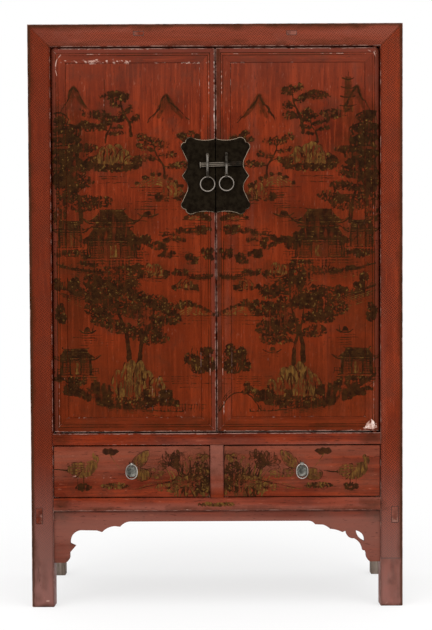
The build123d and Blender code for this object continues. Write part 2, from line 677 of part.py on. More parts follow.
def make_case():
    """The fixed pieces: each board first, then the mortises and grooves that its neighbours need."""
    rear_posts = both(make_rear_post())
    front_posts = both(make_front_post())
    all_posts = group(rear_posts, front_posts)
    panels = {
        "top_panel": make_top_panel(),
        "top_battens": both(make_top_batten()),
        "side_panels": both(make_side_panel()),
        "back_panel": make_back_panel(),
        "dust_board": inside_board(FRONT + FRONT_RAIL_DEPTH, DUST_UNDER, DUST_BOARD_THICKNESS, all_posts),
    }
    rails = {
        "door_sill_rail": make_front_rail(UNDER_SILL, SILL_TOP, (UNDER_SILL, SILL_TOP - BEAD_WIDTH)),
        "bottom_front_rail": make_front_rail(UNDER_BOTTOM_RAIL, DRAWER_FLOOR, (UNDER_BOTTOM_RAIL,)),
        "bottom_rear_rail": make_rear_rail(),
        "side_rails": both(make_side_rail()),
    }
    divider = make_divider()
    aprons = {"left": make_apron(left_apron_outline())}
    aprons["right"] = make_apron(right_apron_outline()) - make_apron(right_apron_piercing())
    lower_hole, upper_hole = make_pivot_holes()

    pieces = {}
    for side in SIDES:
        pieces[f"{side}_front_post"] = sided(side, make_front_post())
        pieces[f"{side}_rear_post"] = sided(side, make_rear_post())
        pieces[f"{side}_top_rail"] = sided(side, make_top_side_rail())
        pieces[f"{side}_bottom_rail"] = sided(side, make_side_rail())
        pieces[f"{side}_side_panel"] = sided(side, make_side_panel())
        pieces[f"{side}_apron"] = aprons[side]
        for name in (f"{side}_front_post", f"{side}_rear_post"):
            pieces[name] = cut(pieces[name], *rails.values(), panels["side_panels"], panels["back_panel"])
        grooved = (panels["top_panel"], panels["side_panels"], panels["back_panel"])
        pieces[f"{side}_top_rail"] = cut(pieces[f"{side}_top_rail"], *grooved)
        pieces[f"{side}_bottom_rail"] = cut(pieces[f"{side}_bottom_rail"], panels["side_panels"])
    top_fittings = (panels["top_panel"], panels["top_battens"])
    pieces["top_front_rail"] = cut(make_top_front_rail(), *top_fittings, both(upper_hole))
    pieces["top_rear_rail"] = cut(make_top_rear_rail(), *top_fittings, panels["back_panel"])
    pieces["top_panel"] = panels["top_panel"]
    pieces["top_battens"] = panels["top_battens"]
    pieces["back_panel"] = panels["back_panel"]
    pieces["dust_board"] = panels["dust_board"]
    pieces["door_sill_rail"] = cut(rails["door_sill_rail"], divider, both(lower_hole))
    pieces["bottom_front_rail"] = cut(rails["bottom_front_rail"], divider, *aprons.values())
    pieces["bottom_rear_rail"] = cut(rails["bottom_rear_rail"], panels["back_panel"])
    pieces["drawer_divider"] = divider
    pieces["drawer_runners"] = make_runners(all_posts)
    pieces["floor_bearers"] = make_floor_bearers(rear_posts)
    pieces["cabinet_floor"] = inside_board(DOOR_STOP, SILL_TOP, FLOOR_THICKNESS, all_posts)
    shelf_front = FRONT + POST_DEPTH + SHELF_SETBACK
    pieces["shelf_board"] = inside_board(shelf_front, SHELF_UNDER, SHELF_THICKNESS, rear_posts)
    pieces["shelf_bearers"] = both(make_shelf_bearer(rear_posts))
    return pieces


def cut(part, *tools):
    """A part with the room for its neighbours cut out of it."""
    for tool in tools:
        part = part - tool
    return part


def make_pieces():
    pieces = make_case()
    pieces["lock_pin"] = make_lock_pin()
    for side in SIDES:
        door = make_door(side)
        staple, eye_z = make_staple(side)
        door["lock_stile"] -= staple
        for name, board in door.items():
            pieces[f"{side}_door_{name}"] = board
        lock_plate = sided(side, plate(lock_plate_outline(), PLATE_FACE, FRONT))
        pieces[f"{side}_lock_plate"] = lock_plate - staple
        pieces[f"{side}_staple"] = staple
        pieces[f"{side}_ring"] = make_ring(side, eye_z)
        for name, board in {**make_drawer(side), **make_pull(side)}.items():
            pieces[f"{side}_{name}"] = board
    return pieces


def write_pieces(pieces):
    os.makedirs("parts", exist_ok=True)
    for name, piece in pieces.items():
        piece.label = name
        export_step(piece, f"parts/{name}.step")


write_pieces(make_pieces())
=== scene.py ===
import math

import bmesh
import bpy
import numpy as np
from mathutils import Euler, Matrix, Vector
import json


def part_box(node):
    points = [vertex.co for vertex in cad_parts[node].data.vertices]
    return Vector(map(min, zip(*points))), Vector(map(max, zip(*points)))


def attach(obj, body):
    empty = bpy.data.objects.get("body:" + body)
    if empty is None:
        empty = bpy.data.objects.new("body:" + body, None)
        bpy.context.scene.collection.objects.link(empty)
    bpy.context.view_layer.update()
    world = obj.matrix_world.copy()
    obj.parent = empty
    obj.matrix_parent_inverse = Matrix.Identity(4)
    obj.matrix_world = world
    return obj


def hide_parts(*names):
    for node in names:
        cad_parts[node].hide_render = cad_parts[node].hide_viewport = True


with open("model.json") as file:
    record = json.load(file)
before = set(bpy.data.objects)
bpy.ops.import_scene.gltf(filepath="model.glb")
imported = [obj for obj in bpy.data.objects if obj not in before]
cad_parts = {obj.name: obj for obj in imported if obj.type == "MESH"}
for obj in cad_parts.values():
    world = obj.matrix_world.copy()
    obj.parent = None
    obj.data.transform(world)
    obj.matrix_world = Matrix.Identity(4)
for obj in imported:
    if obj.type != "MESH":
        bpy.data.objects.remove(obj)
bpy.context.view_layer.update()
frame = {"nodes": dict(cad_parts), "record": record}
MM = 0.001
SIDES = {"left": -1, "right": 1}

# Places of the case, in metres, from the frame
post_low, post_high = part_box("right_front_post")
INNER, OUTER, POST_BACK = post_low.x, post_high.x, post_high.y
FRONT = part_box("right_door_bottom_rail")[0].y
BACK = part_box("right_rear_post")[1].y
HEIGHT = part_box("top_front_rail")[1].z
UNDER_TOP_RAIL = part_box("right_rear_post")[1].z
UNDER_SILL, SILL_TOP = (corner.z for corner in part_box("door_sill_rail"))
UNDER_BOTTOM_RAIL, DRAWER_FLOOR = (corner.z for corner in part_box("bottom_front_rail"))
RAIL_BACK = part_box("door_sill_rail")[1].y
POST_DEPTH = POST_BACK - FRONT
CORNER = OUTER - INNER
LIP_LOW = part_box("top_front_rail")[0].z
BEAD_WIDTH = 4 * MM
BEAD_HEIGHT = 1.5 * MM

# Places of the doors
DOOR_INNER, DOOR_OUTER = (corner.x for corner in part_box("right_door_bottom_rail"))
DOOR_LOW, DOOR_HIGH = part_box("right_door_bottom_rail")[0].z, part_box("right_door_top_rail")[1].z
DOOR_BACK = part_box("right_door_bottom_rail")[1].y
DOOR_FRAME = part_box("right_door_bottom_rail")[1].z - DOOR_LOW
HINGE_RADIUS = (DOOR_BACK - FRONT) / 2
HINGE_X = DOOR_OUTER - HINGE_RADIUS
PIVOT_LOW, PIVOT_HIGH = (corner.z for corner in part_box("right_door_hinge_stile"))
PIVOT_RADIUS = 7 * MM
PANEL_FRONT, PANEL_BACK = (corner.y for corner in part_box("right_door_panel"))


def srgb(red, green, blue):
    """A colour written as 0 to 255 a channel, as the linear colour that shaders take."""
    channels = np.array([red, green, blue]) / 255
    linear = np.where(channels < 0.04045, channels / 12.92, ((channels + 0.055) / 1.055) ** 2.4)
    return (*linear.tolist(), 1)


# Camera, light and floor
LAMP_AIM = Vector((0, 0, 0.9))
FLOOR_REACH = 30


def make_camera():
    data = bpy.data.cameras.new("camera")
    data.sensor_width = 36
    data.lens = 69.7
    data.shift_x = -0.0113
    data.shift_y = 0.108
    camera = bpy.data.objects.new("camera", data)
    camera.location = (0.020, -3.962, 0.794)
    pitch, roll = math.radians(-1.76), math.radians(-0.25)
    level = Euler((math.pi / 2 + pitch, 0, 0)).to_matrix()
    camera.rotation_euler = (level @ Euler((0, 0, roll)).to_matrix()).to_euler()
    bpy.context.scene.collection.objects.link(camera)
    bpy.context.scene.camera = camera


def make_lamp(name, place, size, power):
    data = bpy.data.lights.new(name, "AREA")
    data.shape = "SQUARE"
    data.size = size
    data.energy = power
    lamp = bpy.data.objects.new(name, data)
    lamp.location = place
    aim = LAMP_AIM - lamp.location
    lamp.rotation_euler = aim.to_track_quat("-Z", "Y").to_euler()
    bpy.context.scene.collection.objects.link(lamp)


def make_world(strength):
    """White wherever it is seen, reflected or looked through, and dimmer as a lamp."""
    world = bpy.data.worlds.new("studio")
    bpy.context.scene.world = world
    world.use_nodes = True
    nodes, links = world.node_tree.nodes, world.node_tree.links
    nodes.clear()
    path = nodes.new("ShaderNodeLightPath")
    seen = path.outputs["Is Camera Ray"]
    for ray in ("Is Transmission Ray", "Is Glossy Ray"):
        either = nodes.new("ShaderNodeMath")
        either.operation = "MAXIMUM"
        links.new(seen, either.inputs[0])
        links.new(path.outputs[ray], either.inputs[1])
        seen = either.outputs[0]
    level = nodes.new("ShaderNodeMapRange")
    level.inputs["To Min"].default_value = strength
    links.new(seen, level.inputs["Value"])
    background = nodes.new("ShaderNodeBackground")
    background.inputs["Color"].default_value = (1, 1, 1, 1)
    links.new(level.outputs["Result"], background.inputs["Strength"])
    output = nodes.new("ShaderNodeOutputWorld")
    links.new(background.outputs[0], output.inputs["Surface"])


def make_floor():
    """A pale floor that keeps the object's shadow and turns white with distance."""
    shader = Shader("floor")
    shader.surface("Base Color", srgb(243, 243, 243))
    shader.surface("Roughness", 0.9)
    shader.surface("Specular IOR Level", 0.0)
    distance = shader.add("VectorMath", operation="LENGTH", inputs=[shader.position]).outputs["Value"]
    fade = shader.step(distance, 0.7, 2.4, 0.68, 1)
    path = shader.add("LightPath")
    seen = shader.math("MAXIMUM", path.outputs["Is Camera Ray"], path.outputs["Is Glossy Ray"])
    seen = shader.math("MAXIMUM", seen, path.outputs["Is Transmission Ray"])
    white = shader.add("Emission", inputs=[(1, 1, 1, 1), 1.0]).outputs[0]
    share = shader.times(fade, seen)
    mixed = shader.add("MixShader", inputs=[share, shader.bsdf.outputs[0], white])
    shader.tree.links.new(mixed.outputs[0], shader.output.inputs["Surface"])
    mesh = bpy.data.meshes.new("floor")
    corners = [(FLOOR_REACH * x, FLOOR_REACH * y, 0) for x, y in ((-1, -1), (1, -1), (1, 1), (-1, 1))]
    mesh.from_pydata(corners, [], [(0, 1, 2, 3)])
    mesh.materials.append(shader.material)
    floor = bpy.data.objects.new("floor", mesh)
    bpy.context.scene.collection.objects.link(floor)


class Shader:
    """One material in the making. Each method adds a node and gives its output socket."""

    def __init__(self, name):
        self.material = bpy.data.materials.new(name)
        self.material.use_nodes = True
        self.tree = self.material.node_tree
        self.tree.nodes.clear()
        self.output = self.tree.nodes.new("ShaderNodeOutputMaterial")
        self.bsdf = self.tree.nodes.new("ShaderNodeBsdfPrincipled")
        self.tree.links.new(self.bsdf.outputs[0], self.output.inputs["Surface"])
        self.position = self.add("TexCoord").outputs["Object"]

    def add(self, kind, inputs=(), **settings):
        node = self.tree.nodes.new("ShaderNode" + kind)
        for key, value in settings.items():
            setattr(node, key, value)
        for socket, value in zip(node.inputs, inputs):
            self.feed(socket, value)
        return node

    def feed(self, socket, value):
        if isinstance(value, bpy.types.NodeSocket):
            self.tree.links.new(value, socket)
        elif value is not None:
            socket.default_value = value

    def surface(self, socket, value):
        self.feed(self.bsdf.inputs[socket], value)

    def math(self, operation, *values):
        return self.add("Math", values, operation=operation).outputs[0]

    def times(self, *values):
        return self.math("MULTIPLY", *values)

    def plus(self, *values):
        return self.math("ADD", *values)

    def stretch(self, x, y, z, vector=None):
        """A position with each axis scaled by itself."""
        return self.add("VectorMath", [vector or self.position, (x, y, z)], operation="MULTIPLY").outputs[0]

    def noise(self, scale, detail, roughness, vector=None, distortion=0.0):
        node = self.add("TexNoise")
        self.feed(node.inputs["Vector"], vector or self.position)
        for socket, value in (("Scale", scale), ("Detail", detail), ("Roughness", roughness)):
            node.inputs[socket].default_value = value
        node.inputs["Distortion"].default_value = distortion
        return node.outputs["Fac"]

    def step(self, value, low, high, to_low=0.0, to_high=1.0):
        """A smooth step of a value between two levels."""
        node = self.add("MapRange", interpolation_type="SMOOTHSTEP")
        self.feed(node.inputs["Value"], value)
        for socket, level in (("From Min", low), ("From Max", high), ("To Min", to_low), ("To Max", to_high)):
            node.inputs[socket].default_value = level
        return node.outputs["Result"]

    def mix(self, share, first, second):
        node = self.add("Mix", data_type="RGBA")
        self.feed(node.inputs[0], share)
        self.feed(node.inputs[6], first)
        self.feed(node.inputs[7], second)
        return node.outputs[2]

    def coats(self, colour, *rows):
        """Colours laid one over the other: each by a value, the levels it passes between, a share and the coat."""
        for value, low, high, share, coat in rows:
            colour = self.mix(self.step(value, low, high, 0, share), colour, coat)
        return colour

    def channels(self, attribute):
        """The four channels of a colour attribute of the mesh."""
        node = self.add("Attribute", attribute_name=attribute)
        return [*self.add("SeparateColor", [node.outputs["Color"]]).outputs, node.outputs["Alpha"]]

    def axes(self):
        return self.add("SeparateXYZ", [self.position]).outputs

    def bump(self, height, depth, strength):
        node = self.add("Bump")
        node.inputs["Strength"].default_value = strength
        node.inputs["Distance"].default_value = depth
        self.feed(node.inputs["Height"], height)
        self.surface("Normal", node.outputs["Normal"])


# Finishes
UPRIGHT = (1, 1, 0.06)
LYING = (0.06, 1, 1)
DEEP = (1, 0.06, 1)

RED_DARK = srgb(78, 24, 9)
RED = srgb(116, 40, 16)
RED_BRIGHT = srgb(142, 54, 26)
GRIME = srgb(64, 38, 27)
FADED = srgb(136, 84, 71)
FADED_DARK = srgb(122, 76, 65)
FLECK = srgb(158, 98, 76)
WORN = srgb(150, 112, 100)
PALE = srgb(172, 136, 122)
CHIP = srgb(220, 198, 188)
BLACKENED = srgb(32, 17, 11)
GLAZE_BROWN = srgb(46, 22, 4)
INK_DARK = srgb(14, 8, 1)
INK_LIGHT = srgb(46, 26, 6)
GOLD_DARK = srgb(49, 31, 11)
GOLD_LIGHT = srgb(103, 72, 30)
FRET_GROUND = srgb(140, 58, 34)
FRET_INK = srgb(46, 20, 11)
DUST = srgb(122, 91, 84)
FOOT_DUST = srgb(148, 100, 92)
POST_RIM = srgb(56, 36, 22)
DOOR_PINK = srgb(100, 50, 37)
DOOR_ORANGE = srgb(98, 33, 2)
DOOR_RIM = srgb(96, 46, 36)
APRON_DIRT = srgb(54, 48, 40)
WOOD_PORES = srgb(52, 40, 32)
WOOD_DIRT = srgb(84, 74, 66)


def lacquer(shader, grain, dark=RED_DARK, light=RED, grime=0.5, faded=0.0, haze_colour=FADED):
    """Old red lacquer: cloudy colour, streaks and flecks along the grain, grime and a faded pink haze."""
    along = shader.stretch(*grain)
    clouds = shader.mix(shader.step(shader.noise(5.0, 5.0, 0.6), 0.32, 0.62), dark, light)
    band = shader.noise(38.0, 3.0, 0.6, along)
    streak = shader.noise(130.0, 3.0, 0.6, along)
    haze = shader.plus(shader.noise(7.0, 4.0, 0.6, along), faded)
    fleck = shader.noise(230.0, 2.0, 0.5, shader.stretch(*(share**0.6 for share in grain)))
    return shader.coats(
        clouds,
        (band, 0.52, 0.7, 0.35, RED_BRIGHT),
        (band, 0.47, 0.3, 0.35, dark),
        (streak, 0.5, 0.68, 0.4, RED_BRIGHT),
        (streak, 0.48, 0.32, 0.42, RED_DARK),
        (shader.noise(11.0, 6.0, 0.65), 0.48, 0.66, grime, GRIME),
        (haze, 0.53, 0.8, 0.8, haze_colour),
        (fleck, 0.62, 0.72, 0.5, BLACKENED),
        (fleck, 0.33, 0.25, 0.3, FLECK),
    )


def overlay(shader, colour):
    """What is painted on the lacquer or rubbed off it: the mesh says where gold, ink, glaze and bare spots are."""
    gold, ink, pale, glaze = shader.channels("picture")
    bristles = shader.noise(150.0, 4.0, 0.6, shader.stretch(1, 1, 0.22))
    flake = shader.noise(60.0, 5.0, 0.7)
    rough = shader.plus(shader.times(bristles, 0.5), shader.times(flake, 0.5))

    def laid(channel, low, high):
        """A channel with a ragged, flaking rim."""
        ragged = shader.plus(channel, shader.math("SUBTRACT", rough, 0.5))
        return shader.step(ragged, low, high)

    stain = shader.times(glaze, shader.step(flake, 0.25, 0.7, 0.5, 1))
    colour = shader.mix(stain, colour, GLAZE_BROWN)
    dark_paint = shader.mix(shader.step(flake, 0.35, 0.65), INK_DARK, INK_LIGHT)
    gold_paint = shader.mix(shader.step(bristles, 0.36, 0.66), GOLD_DARK, GOLD_LIGHT)
    gold_paint = shader.mix(shader.step(flake, 0.56, 0.36, 0, 0.7), gold_paint, GOLD_DARK)
    colour = shader.mix(shader.times(laid(ink, 0.27, 0.6), 0.9), colour, dark_paint)
    colour = shader.mix(shader.times(laid(gold, 0.32, 0.66), 0.88), colour, gold_paint)
    colour = shader.mix(laid(pale, 0.35, 0.75), colour, PALE)
    colour = shader.mix(laid(pale, 0.8, 1.12), colour, CHIP)
    relief = shader.plus(laid(gold, 0.3, 0.7), laid(ink, 0.3, 0.7))
    return colour, shader.times(relief, 0.35)


def wear_edges(shader, colour):
    """Edges rubbed through the lacquer in uneven runs, with dirt beside them."""
    rub = shader.step(shader.noise(26.0, 6.0, 0.7), 0.3, 0.66, 0.3, 1.35)
    near = shader.times(shader.channels("finish")[0], rub)
    return shader.coats(colour, (near, 0.12, 0.5, 0.45, BLACKENED), (near, 0.5, 1.05, 0.85, WORN))


def finish_lacquer(shader, colour, grain, relief=None):
    """Sheen and surface of the lacquer: satin, brushed along the grain, finely crackled."""
    shader.surface("Base Color", colour)
    shader.surface("Specular IOR Level", 0.035)
    shader.surface("Roughness", shader.step(shader.noise(18.0, 5.0, 0.6), 0.3, 0.7, 0.36, 0.58))
    fine = shader.noise(160.0, 4.0, 0.6, shader.stretch(*grain))
    coarse = shader.noise(22.0, 3.0, 0.5)
    crackle = shader.add("TexVoronoi", feature="DISTANCE_TO_EDGE")
    shader.feed(crackle.inputs["Vector"], shader.position)
    crackle.inputs["Scale"].default_value = 130.0
    cracks = shader.step(crackle.outputs["Distance"], 0.0, 0.05, 0, 0.12)
    height = shader.plus(shader.times(fine, 0.35), shader.times(coarse, 0.6))
    height = shader.plus(height, cracks)
    if relief is not None:
        height = shader.plus(height, relief)
    shader.bump(height, 0.8 * MM, 0.5)
    return shader.material


FRET_CELL = 10.5 * MM
FOOT_TOP = 145 * MM


def fret(shader):
    """A woven fret of short slanting dashes, in squares that turn by a right angle: 1 on a dash."""
    x, _, z = shader.axes()
    slant = math.sqrt(0.5) / FRET_CELL
    u = shader.times(shader.plus(x, z), slant)
    v = shader.times(shader.math("SUBTRACT", x, z), slant)
    squares = shader.plus(shader.math("FLOOR", u), shader.math("FLOOR", v))
    odd = shader.math("PINGPONG", squares, 1.0)
    along_u, along_v = shader.math("FRACT", u), shader.math("FRACT", v)

    def dashes(across, along):
        line = shader.math("PINGPONG", shader.times(across, 2.0), 0.5)
        mark = shader.step(line, 0.2, 0.32)
        end = shader.step(shader.math("PINGPONG", along, 0.5), 0.03, 0.09)
        return shader.times(mark, end)

    first, second = dashes(along_u, along_v), dashes(along_v, along_u)
    turned = shader.times(odd, shader.math("SUBTRACT", second, first))
    return shader.plus(first, turned)


def add_fret(shader, colour, share):
    """The fret above the feet, a dark line across the right foot, dust towards the floor, a dirty rim, and painted
    shade that darkens the left post.
    """
    x, _, z = shader.axes()
    _, face, rim, _ = shader.channels("finish")
    patches = shader.step(shader.noise(9.0, 5.0, 0.65), 0.3, 0.5, 0.35, 1)
    above_foot = shader.step(z, FOOT_TOP - 2 * MM, FOOT_TOP + 2 * MM)
    ground = shader.times(patches, shader.times(above_foot, face))
    colour = shader.mix(shader.times(ground, 0.45), colour, FRET_GROUND)
    ink = shader.times(fret(shader), ground)
    colour = shader.mix(shader.times(ink, share), colour, FRET_INK)
    line_low = shader.step(z, FOOT_TOP - 2.5 * MM, FOOT_TOP - 1 * MM)
    line_high = shader.step(z, FOOT_TOP + 4 * MM, FOOT_TOP + 2.5 * MM)
    on_right = shader.times(shader.step(x, 0.49, 0.5, 0.25, 0.85), face)
    foot_line = shader.times(shader.times(line_low, line_high), on_right)
    patchy_rim = shader.times(rim, shader.step(shader.noise(16.0, 5.0, 0.6), 0.3, 0.5, 0.6, 1.1))
    colour = shader.coats(
        shader.mix(foot_line, colour, BLACKENED),
        # Painted shade: the left post darker than the right.
        (x, -0.4, -0.56, 0.42, RED_DARK),
        (z, 0.5, 0.1, 0.6, DUST),
        (z, 0.16, 0.02, 0.35, FOOT_DUST),
        (patchy_rim, 0.27, 0.48, 0.65, POST_RIM),
    )
    return colour, shader.times(ink, -0.3)


def make_frame_lacquer(name, grain, fret_share=0.0, **shades):
    """The lacquer of the case's front: stained all over, and with a painted fret where it has a share."""
    shader = Shader(name)
    colour = lacquer(shader, grain, **shades)
    if fret_share:
        colour, fret_relief = add_fret(shader, colour, fret_share)
    colour, relief = overlay(shader, colour)
    if fret_share:
        relief = shader.plus(fret_relief, relief)
    return finish_lacquer(shader, wear_edges(shader, colour), grain, relief)


def make_plain_lacquer(name, grain, **shades):
    shader = Shader(name)
    colour = wear_edges(shader, lacquer(shader, grain, **shades))
    return finish_lacquer(shader, colour, grain)


def make_apron_lacquer():
    """Faded lacquer, greenish black with dirt in the upper corners beside the posts, and a painted shadow just below
    the bottom rail.
    """
    shader = Shader("apron_lacquer")
    colour = lacquer(shader, LYING, light=srgb(96, 38, 22), grime=0.6, faded=0.21, haze_colour=FADED_DARK)
    x, _, z = shader.axes()
    beside_post = shader.step(shader.math("ABSOLUTE", x), INNER - 75 * MM, INNER)
    below_rail = shader.step(z, UNDER_BOTTOM_RAIL - 50 * MM, UNDER_BOTTOM_RAIL)
    uneven = shader.step(shader.noise(24.0, 5.0, 0.65), 0.34, 0.6, 0.25, 1)
    dirt = shader.times(shader.times(beside_post, below_rail), uneven)
    colour = shader.mix(shader.times(dirt, 0.85), colour, APRON_DIRT)
    # A painted shadow along the joint just below the bottom rail.
    joint = shader.times(shader.step(z, UNDER_BOTTOM_RAIL - 9 * MM, UNDER_BOTTOM_RAIL), uneven)
    colour = shader.mix(shader.times(joint, 0.7), colour, BLACKENED)
    return finish_lacquer(shader, wear_edges(shader, colour), LYING)


def make_door_lacquer(name, grain, **shades):
    """Painted lacquer that is pinker towards the top and a deeper orange lower down."""
    shader = Shader(name)
    _, _, z = shader.axes()
    rim = shader.channels("finish")[2]
    patchy_rim = shader.times(rim, shader.step(shader.noise(16.0, 5.0, 0.6), 0.2, 0.5, 0.5, 1))
    colour = shader.coats(
        lacquer(shader, grain, **shades),
        (z, 1.45, 1.7, 0.4, DOOR_PINK),
        (z, 1.55, 0.9, 0.4, DOOR_ORANGE),
        (patchy_rim, 0.02, 0.12, 0.55, DOOR_RIM),
    )
    colour, relief = overlay(shader, colour)
    return finish_lacquer(shader, wear_edges(shader, colour), grain, relief)


def make_bare_wood(name, grain, dark, light):
    """Unpainted old softwood: growth rings drawn out along the grain, pores and grey dirt."""
    shader = Shader(name)
    along = shader.stretch(*grain)
    rings = shader.noise(54.0, 3.0, 0.55, along, 0.6)
    pores = shader.noise(420.0, 2.0, 0.5, along)
    dirt = shader.noise(6.0, 6.0, 0.65)
    wood = shader.mix(shader.step(rings, 0.35, 0.65), dark, light)
    coats = ((pores, 0.56, 0.7, 0.45, WOOD_PORES), (dirt, 0.45, 0.7, 0.55, WOOD_DIRT))
    shader.surface("Base Color", shader.coats(wood, *coats))
    shader.surface("Specular IOR Level", 0.25)
    shader.surface("Roughness", shader.step(dirt, 0.3, 0.7, 0.62, 0.85))
    shader.bump(shader.plus(rings, shader.times(pores, 0.5)), 0.8 * MM, 0.6)
    return shader.material


def make_metal(name, dark, light, roughness, rub_highlight_colour):
    """Old cast and beaten metal: patina in clouds, pits, and rims rubbed bright with a painted highlight on them."""
    shader = Shader(name)
    patina = shader.noise(70.0, 6.0, 0.65)
    pits = shader.noise(340.0, 3.0, 0.6)
    uneven = shader.step(shader.noise(24.0, 4.0, 0.6), 0.34, 0.6, 0.3, 1.25)
    # The finish's first channel marks rims rubbed bright that also carry a painted highlight.
    rubbed = shader.times(shader.channels("finish")[0], uneven)
    metal = shader.mix(shader.step(patina, 0.36, 0.66), dark, light)
    metal = shader.coats(metal, (pits, 0.58, 0.72, 0.6, dark), (rubbed, 0.2, 0.9, 1, rub_highlight_colour))
    shader.surface("Base Color", metal)
    shader.surface("Metallic", 1.0)
    shader.surface("Roughness", shader.step(patina, 0.3, 0.7, roughness - 0.08, roughness + 0.14))
    beaten = shader.noise(45.0, 2.0, 0.5)
    shader.bump(shader.plus(shader.times(beaten, 0.8), shader.times(pits, 0.3)), 0.5 * MM, 0.35)
    return shader.material


# Boards
OCTAVES_SUM = 1.75
LINE_KNOTS = 4096
SHEET_KNOTS = 256
FINE_STEP = 0.6 * MM


def wavy(at, scale, seed):
    """Smooth random numbers along a line, from -1 to 1."""
    chance = np.random.default_rng(seed)
    total = 0
    for octave in range(3):
        knots = chance.uniform(-1, 1, LINE_KNOTS)
        place = np.asarray(at) / scale * 2**octave + 900.5
        total = total + np.interp(place, np.arange(LINE_KNOTS), knots) / 2**octave
    return total / OCTAVES_SUM


def cloudy(x, z, scale, seed, octaves=3):
    """Smooth random numbers over a sheet, from -1 to 1."""
    chance = np.random.default_rng(seed)
    total = 0
    for octave in range(octaves):
        knots = chance.uniform(-1, 1, (SHEET_KNOTS, SHEET_KNOTS))
        u, v = x / scale * 2**octave + 31.7, z / scale * 2**octave + 57.3
        i, j = np.floor(u).astype(int), np.floor(v).astype(int)
        ease_u, ease_v = ((part**2) * (3 - 2 * part) for part in (u - i, v - j))
        near, far, low, high = (place % SHEET_KNOTS for place in (i, i + 1, j, j + 1))
        below = knots[low, near] * (1 - ease_u) + knots[low, far] * ease_u
        above = knots[high, near] * (1 - ease_u) + knots[high, far] * ease_u
        total = total + (below * (1 - ease_v) + above * ease_v) / 2**octave
    return total / OCTAVES_SUM


def chips(at, seed):
    """How far an edge is worn back along its length: a little all over, and more in short bites."""
    rubbed = 0.35 * MM * (1 + wavy(at, 30 * MM, seed))
    bites = np.clip(wavy(at, 16 * MM, seed + 1) - 0.42, 0, 1)
    return rubbed + 3.2 * MM * bites


UNWORN = (0.0, 0.0)


def flat(a):
    return 0 * a


def bead_at(low):
    """A half-round bead that stands on the face, from a place up or across, with a quirk beside it."""

    def relief(a):
        share = (a - low) / BEAD_WIDTH
        rise = np.where((share > 0) & (share < 1), np.sin(np.pi * np.clip(share, 0, 1)), 0)
        return -BEAD_HEIGHT * rise

    return relief


def quirk_at(middle, width, depth):
    """A small groove along a board."""

    def relief(a):
        share = np.clip(np.abs(a - middle) / (width / 2), 0, 1)
        return depth * np.cos(share * math.pi / 2) ** 2

    return relief


def together(*reliefs):
    return lambda a: sum(relief(a) for relief in reliefs)


def bead_and_quirk(low):
    return together(bead_at(low), quirk_at(low + BEAD_WIDTH + 0.8 * MM, 1.6 * MM, 0.7 * MM))


def board_loop(a0, a1, front, back, step, corner, relief=flat, fine=()):
    """Round a board's section: a across, b from front to back, the distance to a front corner, 1 on the front."""
    turn = np.linspace(0, math.pi / 2, 5)
    arc = np.stack([corner * (1 - np.cos(turn)), corner * (1 - np.sin(turn))], 1)
    inside = np.linspace(a0 + corner, a1 - corner, max(2, round((a1 - a0 - 2 * corner) / step)) + 1)[1:-1]
    close = [np.arange(low, high, FINE_STEP) for low, high in fine]
    inside = np.unique(np.concatenate([inside, *close]))
    inside = inside[(inside > a0 + corner + 0.1 * MM) & (inside < a1 - corner - 0.1 * MM)]
    depths = np.linspace(front + corner, back - MM, max(2, round((back - front) / (9 * MM))) + 1)
    across = np.linspace(a0 + MM, a1 - MM, max(2, round((a1 - a0) / (14 * MM))) + 1)
    loop = [(a0 + a, front + b) for a, b in arc]
    loop += [(a, front) for a in inside]
    loop += [(a1 - a, front + b) for a, b in arc[::-1]]
    loop += [(a1, b) for b in depths[1:]]
    loop += [(a, back) for a in across[::-1]]
    loop += [(a0, b) for b in depths[:0:-1]]
    a, b = np.array(loop).T
    on_front = (b < front + corner / 2) * 1.0
    near = np.hypot(np.minimum(a - a0, a1 - a), b - front)
    return a, b + relief(a) * on_front, near, on_front


def mesh_piece(name, points, faces, material):
    """A mesh object from points and faces, smooth but for its sharp edges."""
    mesh = bpy.data.meshes.new(name)
    mesh.from_pydata(np.asarray(points).tolist(), [], faces)
    mesh.update()
    piece = bpy.data.objects.new(name, mesh)
    bpy.context.scene.collection.objects.link(piece)
    mesh.materials.append(material)
    mesh.shade_smooth()
    mesh.set_sharp_from_angle(angle=math.radians(50))
    return piece


def paint(piece, attribute, channels):
    """Stores three or four channels of numbers on a mesh, as a colour attribute."""
    layer = piece.data.color_attributes.new(attribute, "FLOAT_COLOR", "POINT")
    full = np.ones((len(channels), 4), np.float32)
    full[:, : channels.shape[1]] = channels
    layer.data.foreach_set("color", full.ravel())


def grid_faces(rings, count):
    """Faces of a closed tube of rings, with an end face at each end."""
    ring, spot = np.meshgrid(np.arange(rings - 1), np.arange(count), indexing="ij")
    after = (spot + 1) % count
    here, ahead = ring * count, (ring + 1) * count
    quads = np.stack([here + spot, here + after, ahead + after, ahead + spot])
    faces = quads.reshape(4, -1).T.tolist()
    faces.append(list(range(count))[::-1])
    faces.append(list(range((rings - 1) * count, rings * count)))
    return faces


def tube_faces(points, rings, count):
    """The faces of a tube of rings, turned outwards."""
    faces = grid_faces(rings, count)
    return [face[::-1] for face in faces] if volume(points, rings, count) < 0 else faces


def stations(length, step, rounds):
    """Shares along a board, closer together where an end is rounded."""
    shares = [np.linspace(0, 1, max(2, round(length / step)) + 1)]
    for end, radius in enumerate(rounds):
        near = radius * np.array([0.1, 0.3, 0.6, 1]) / length if radius else np.array([])
        shares.append(1 - near if end else near)
    return np.unique(np.concatenate(shares).round(6))


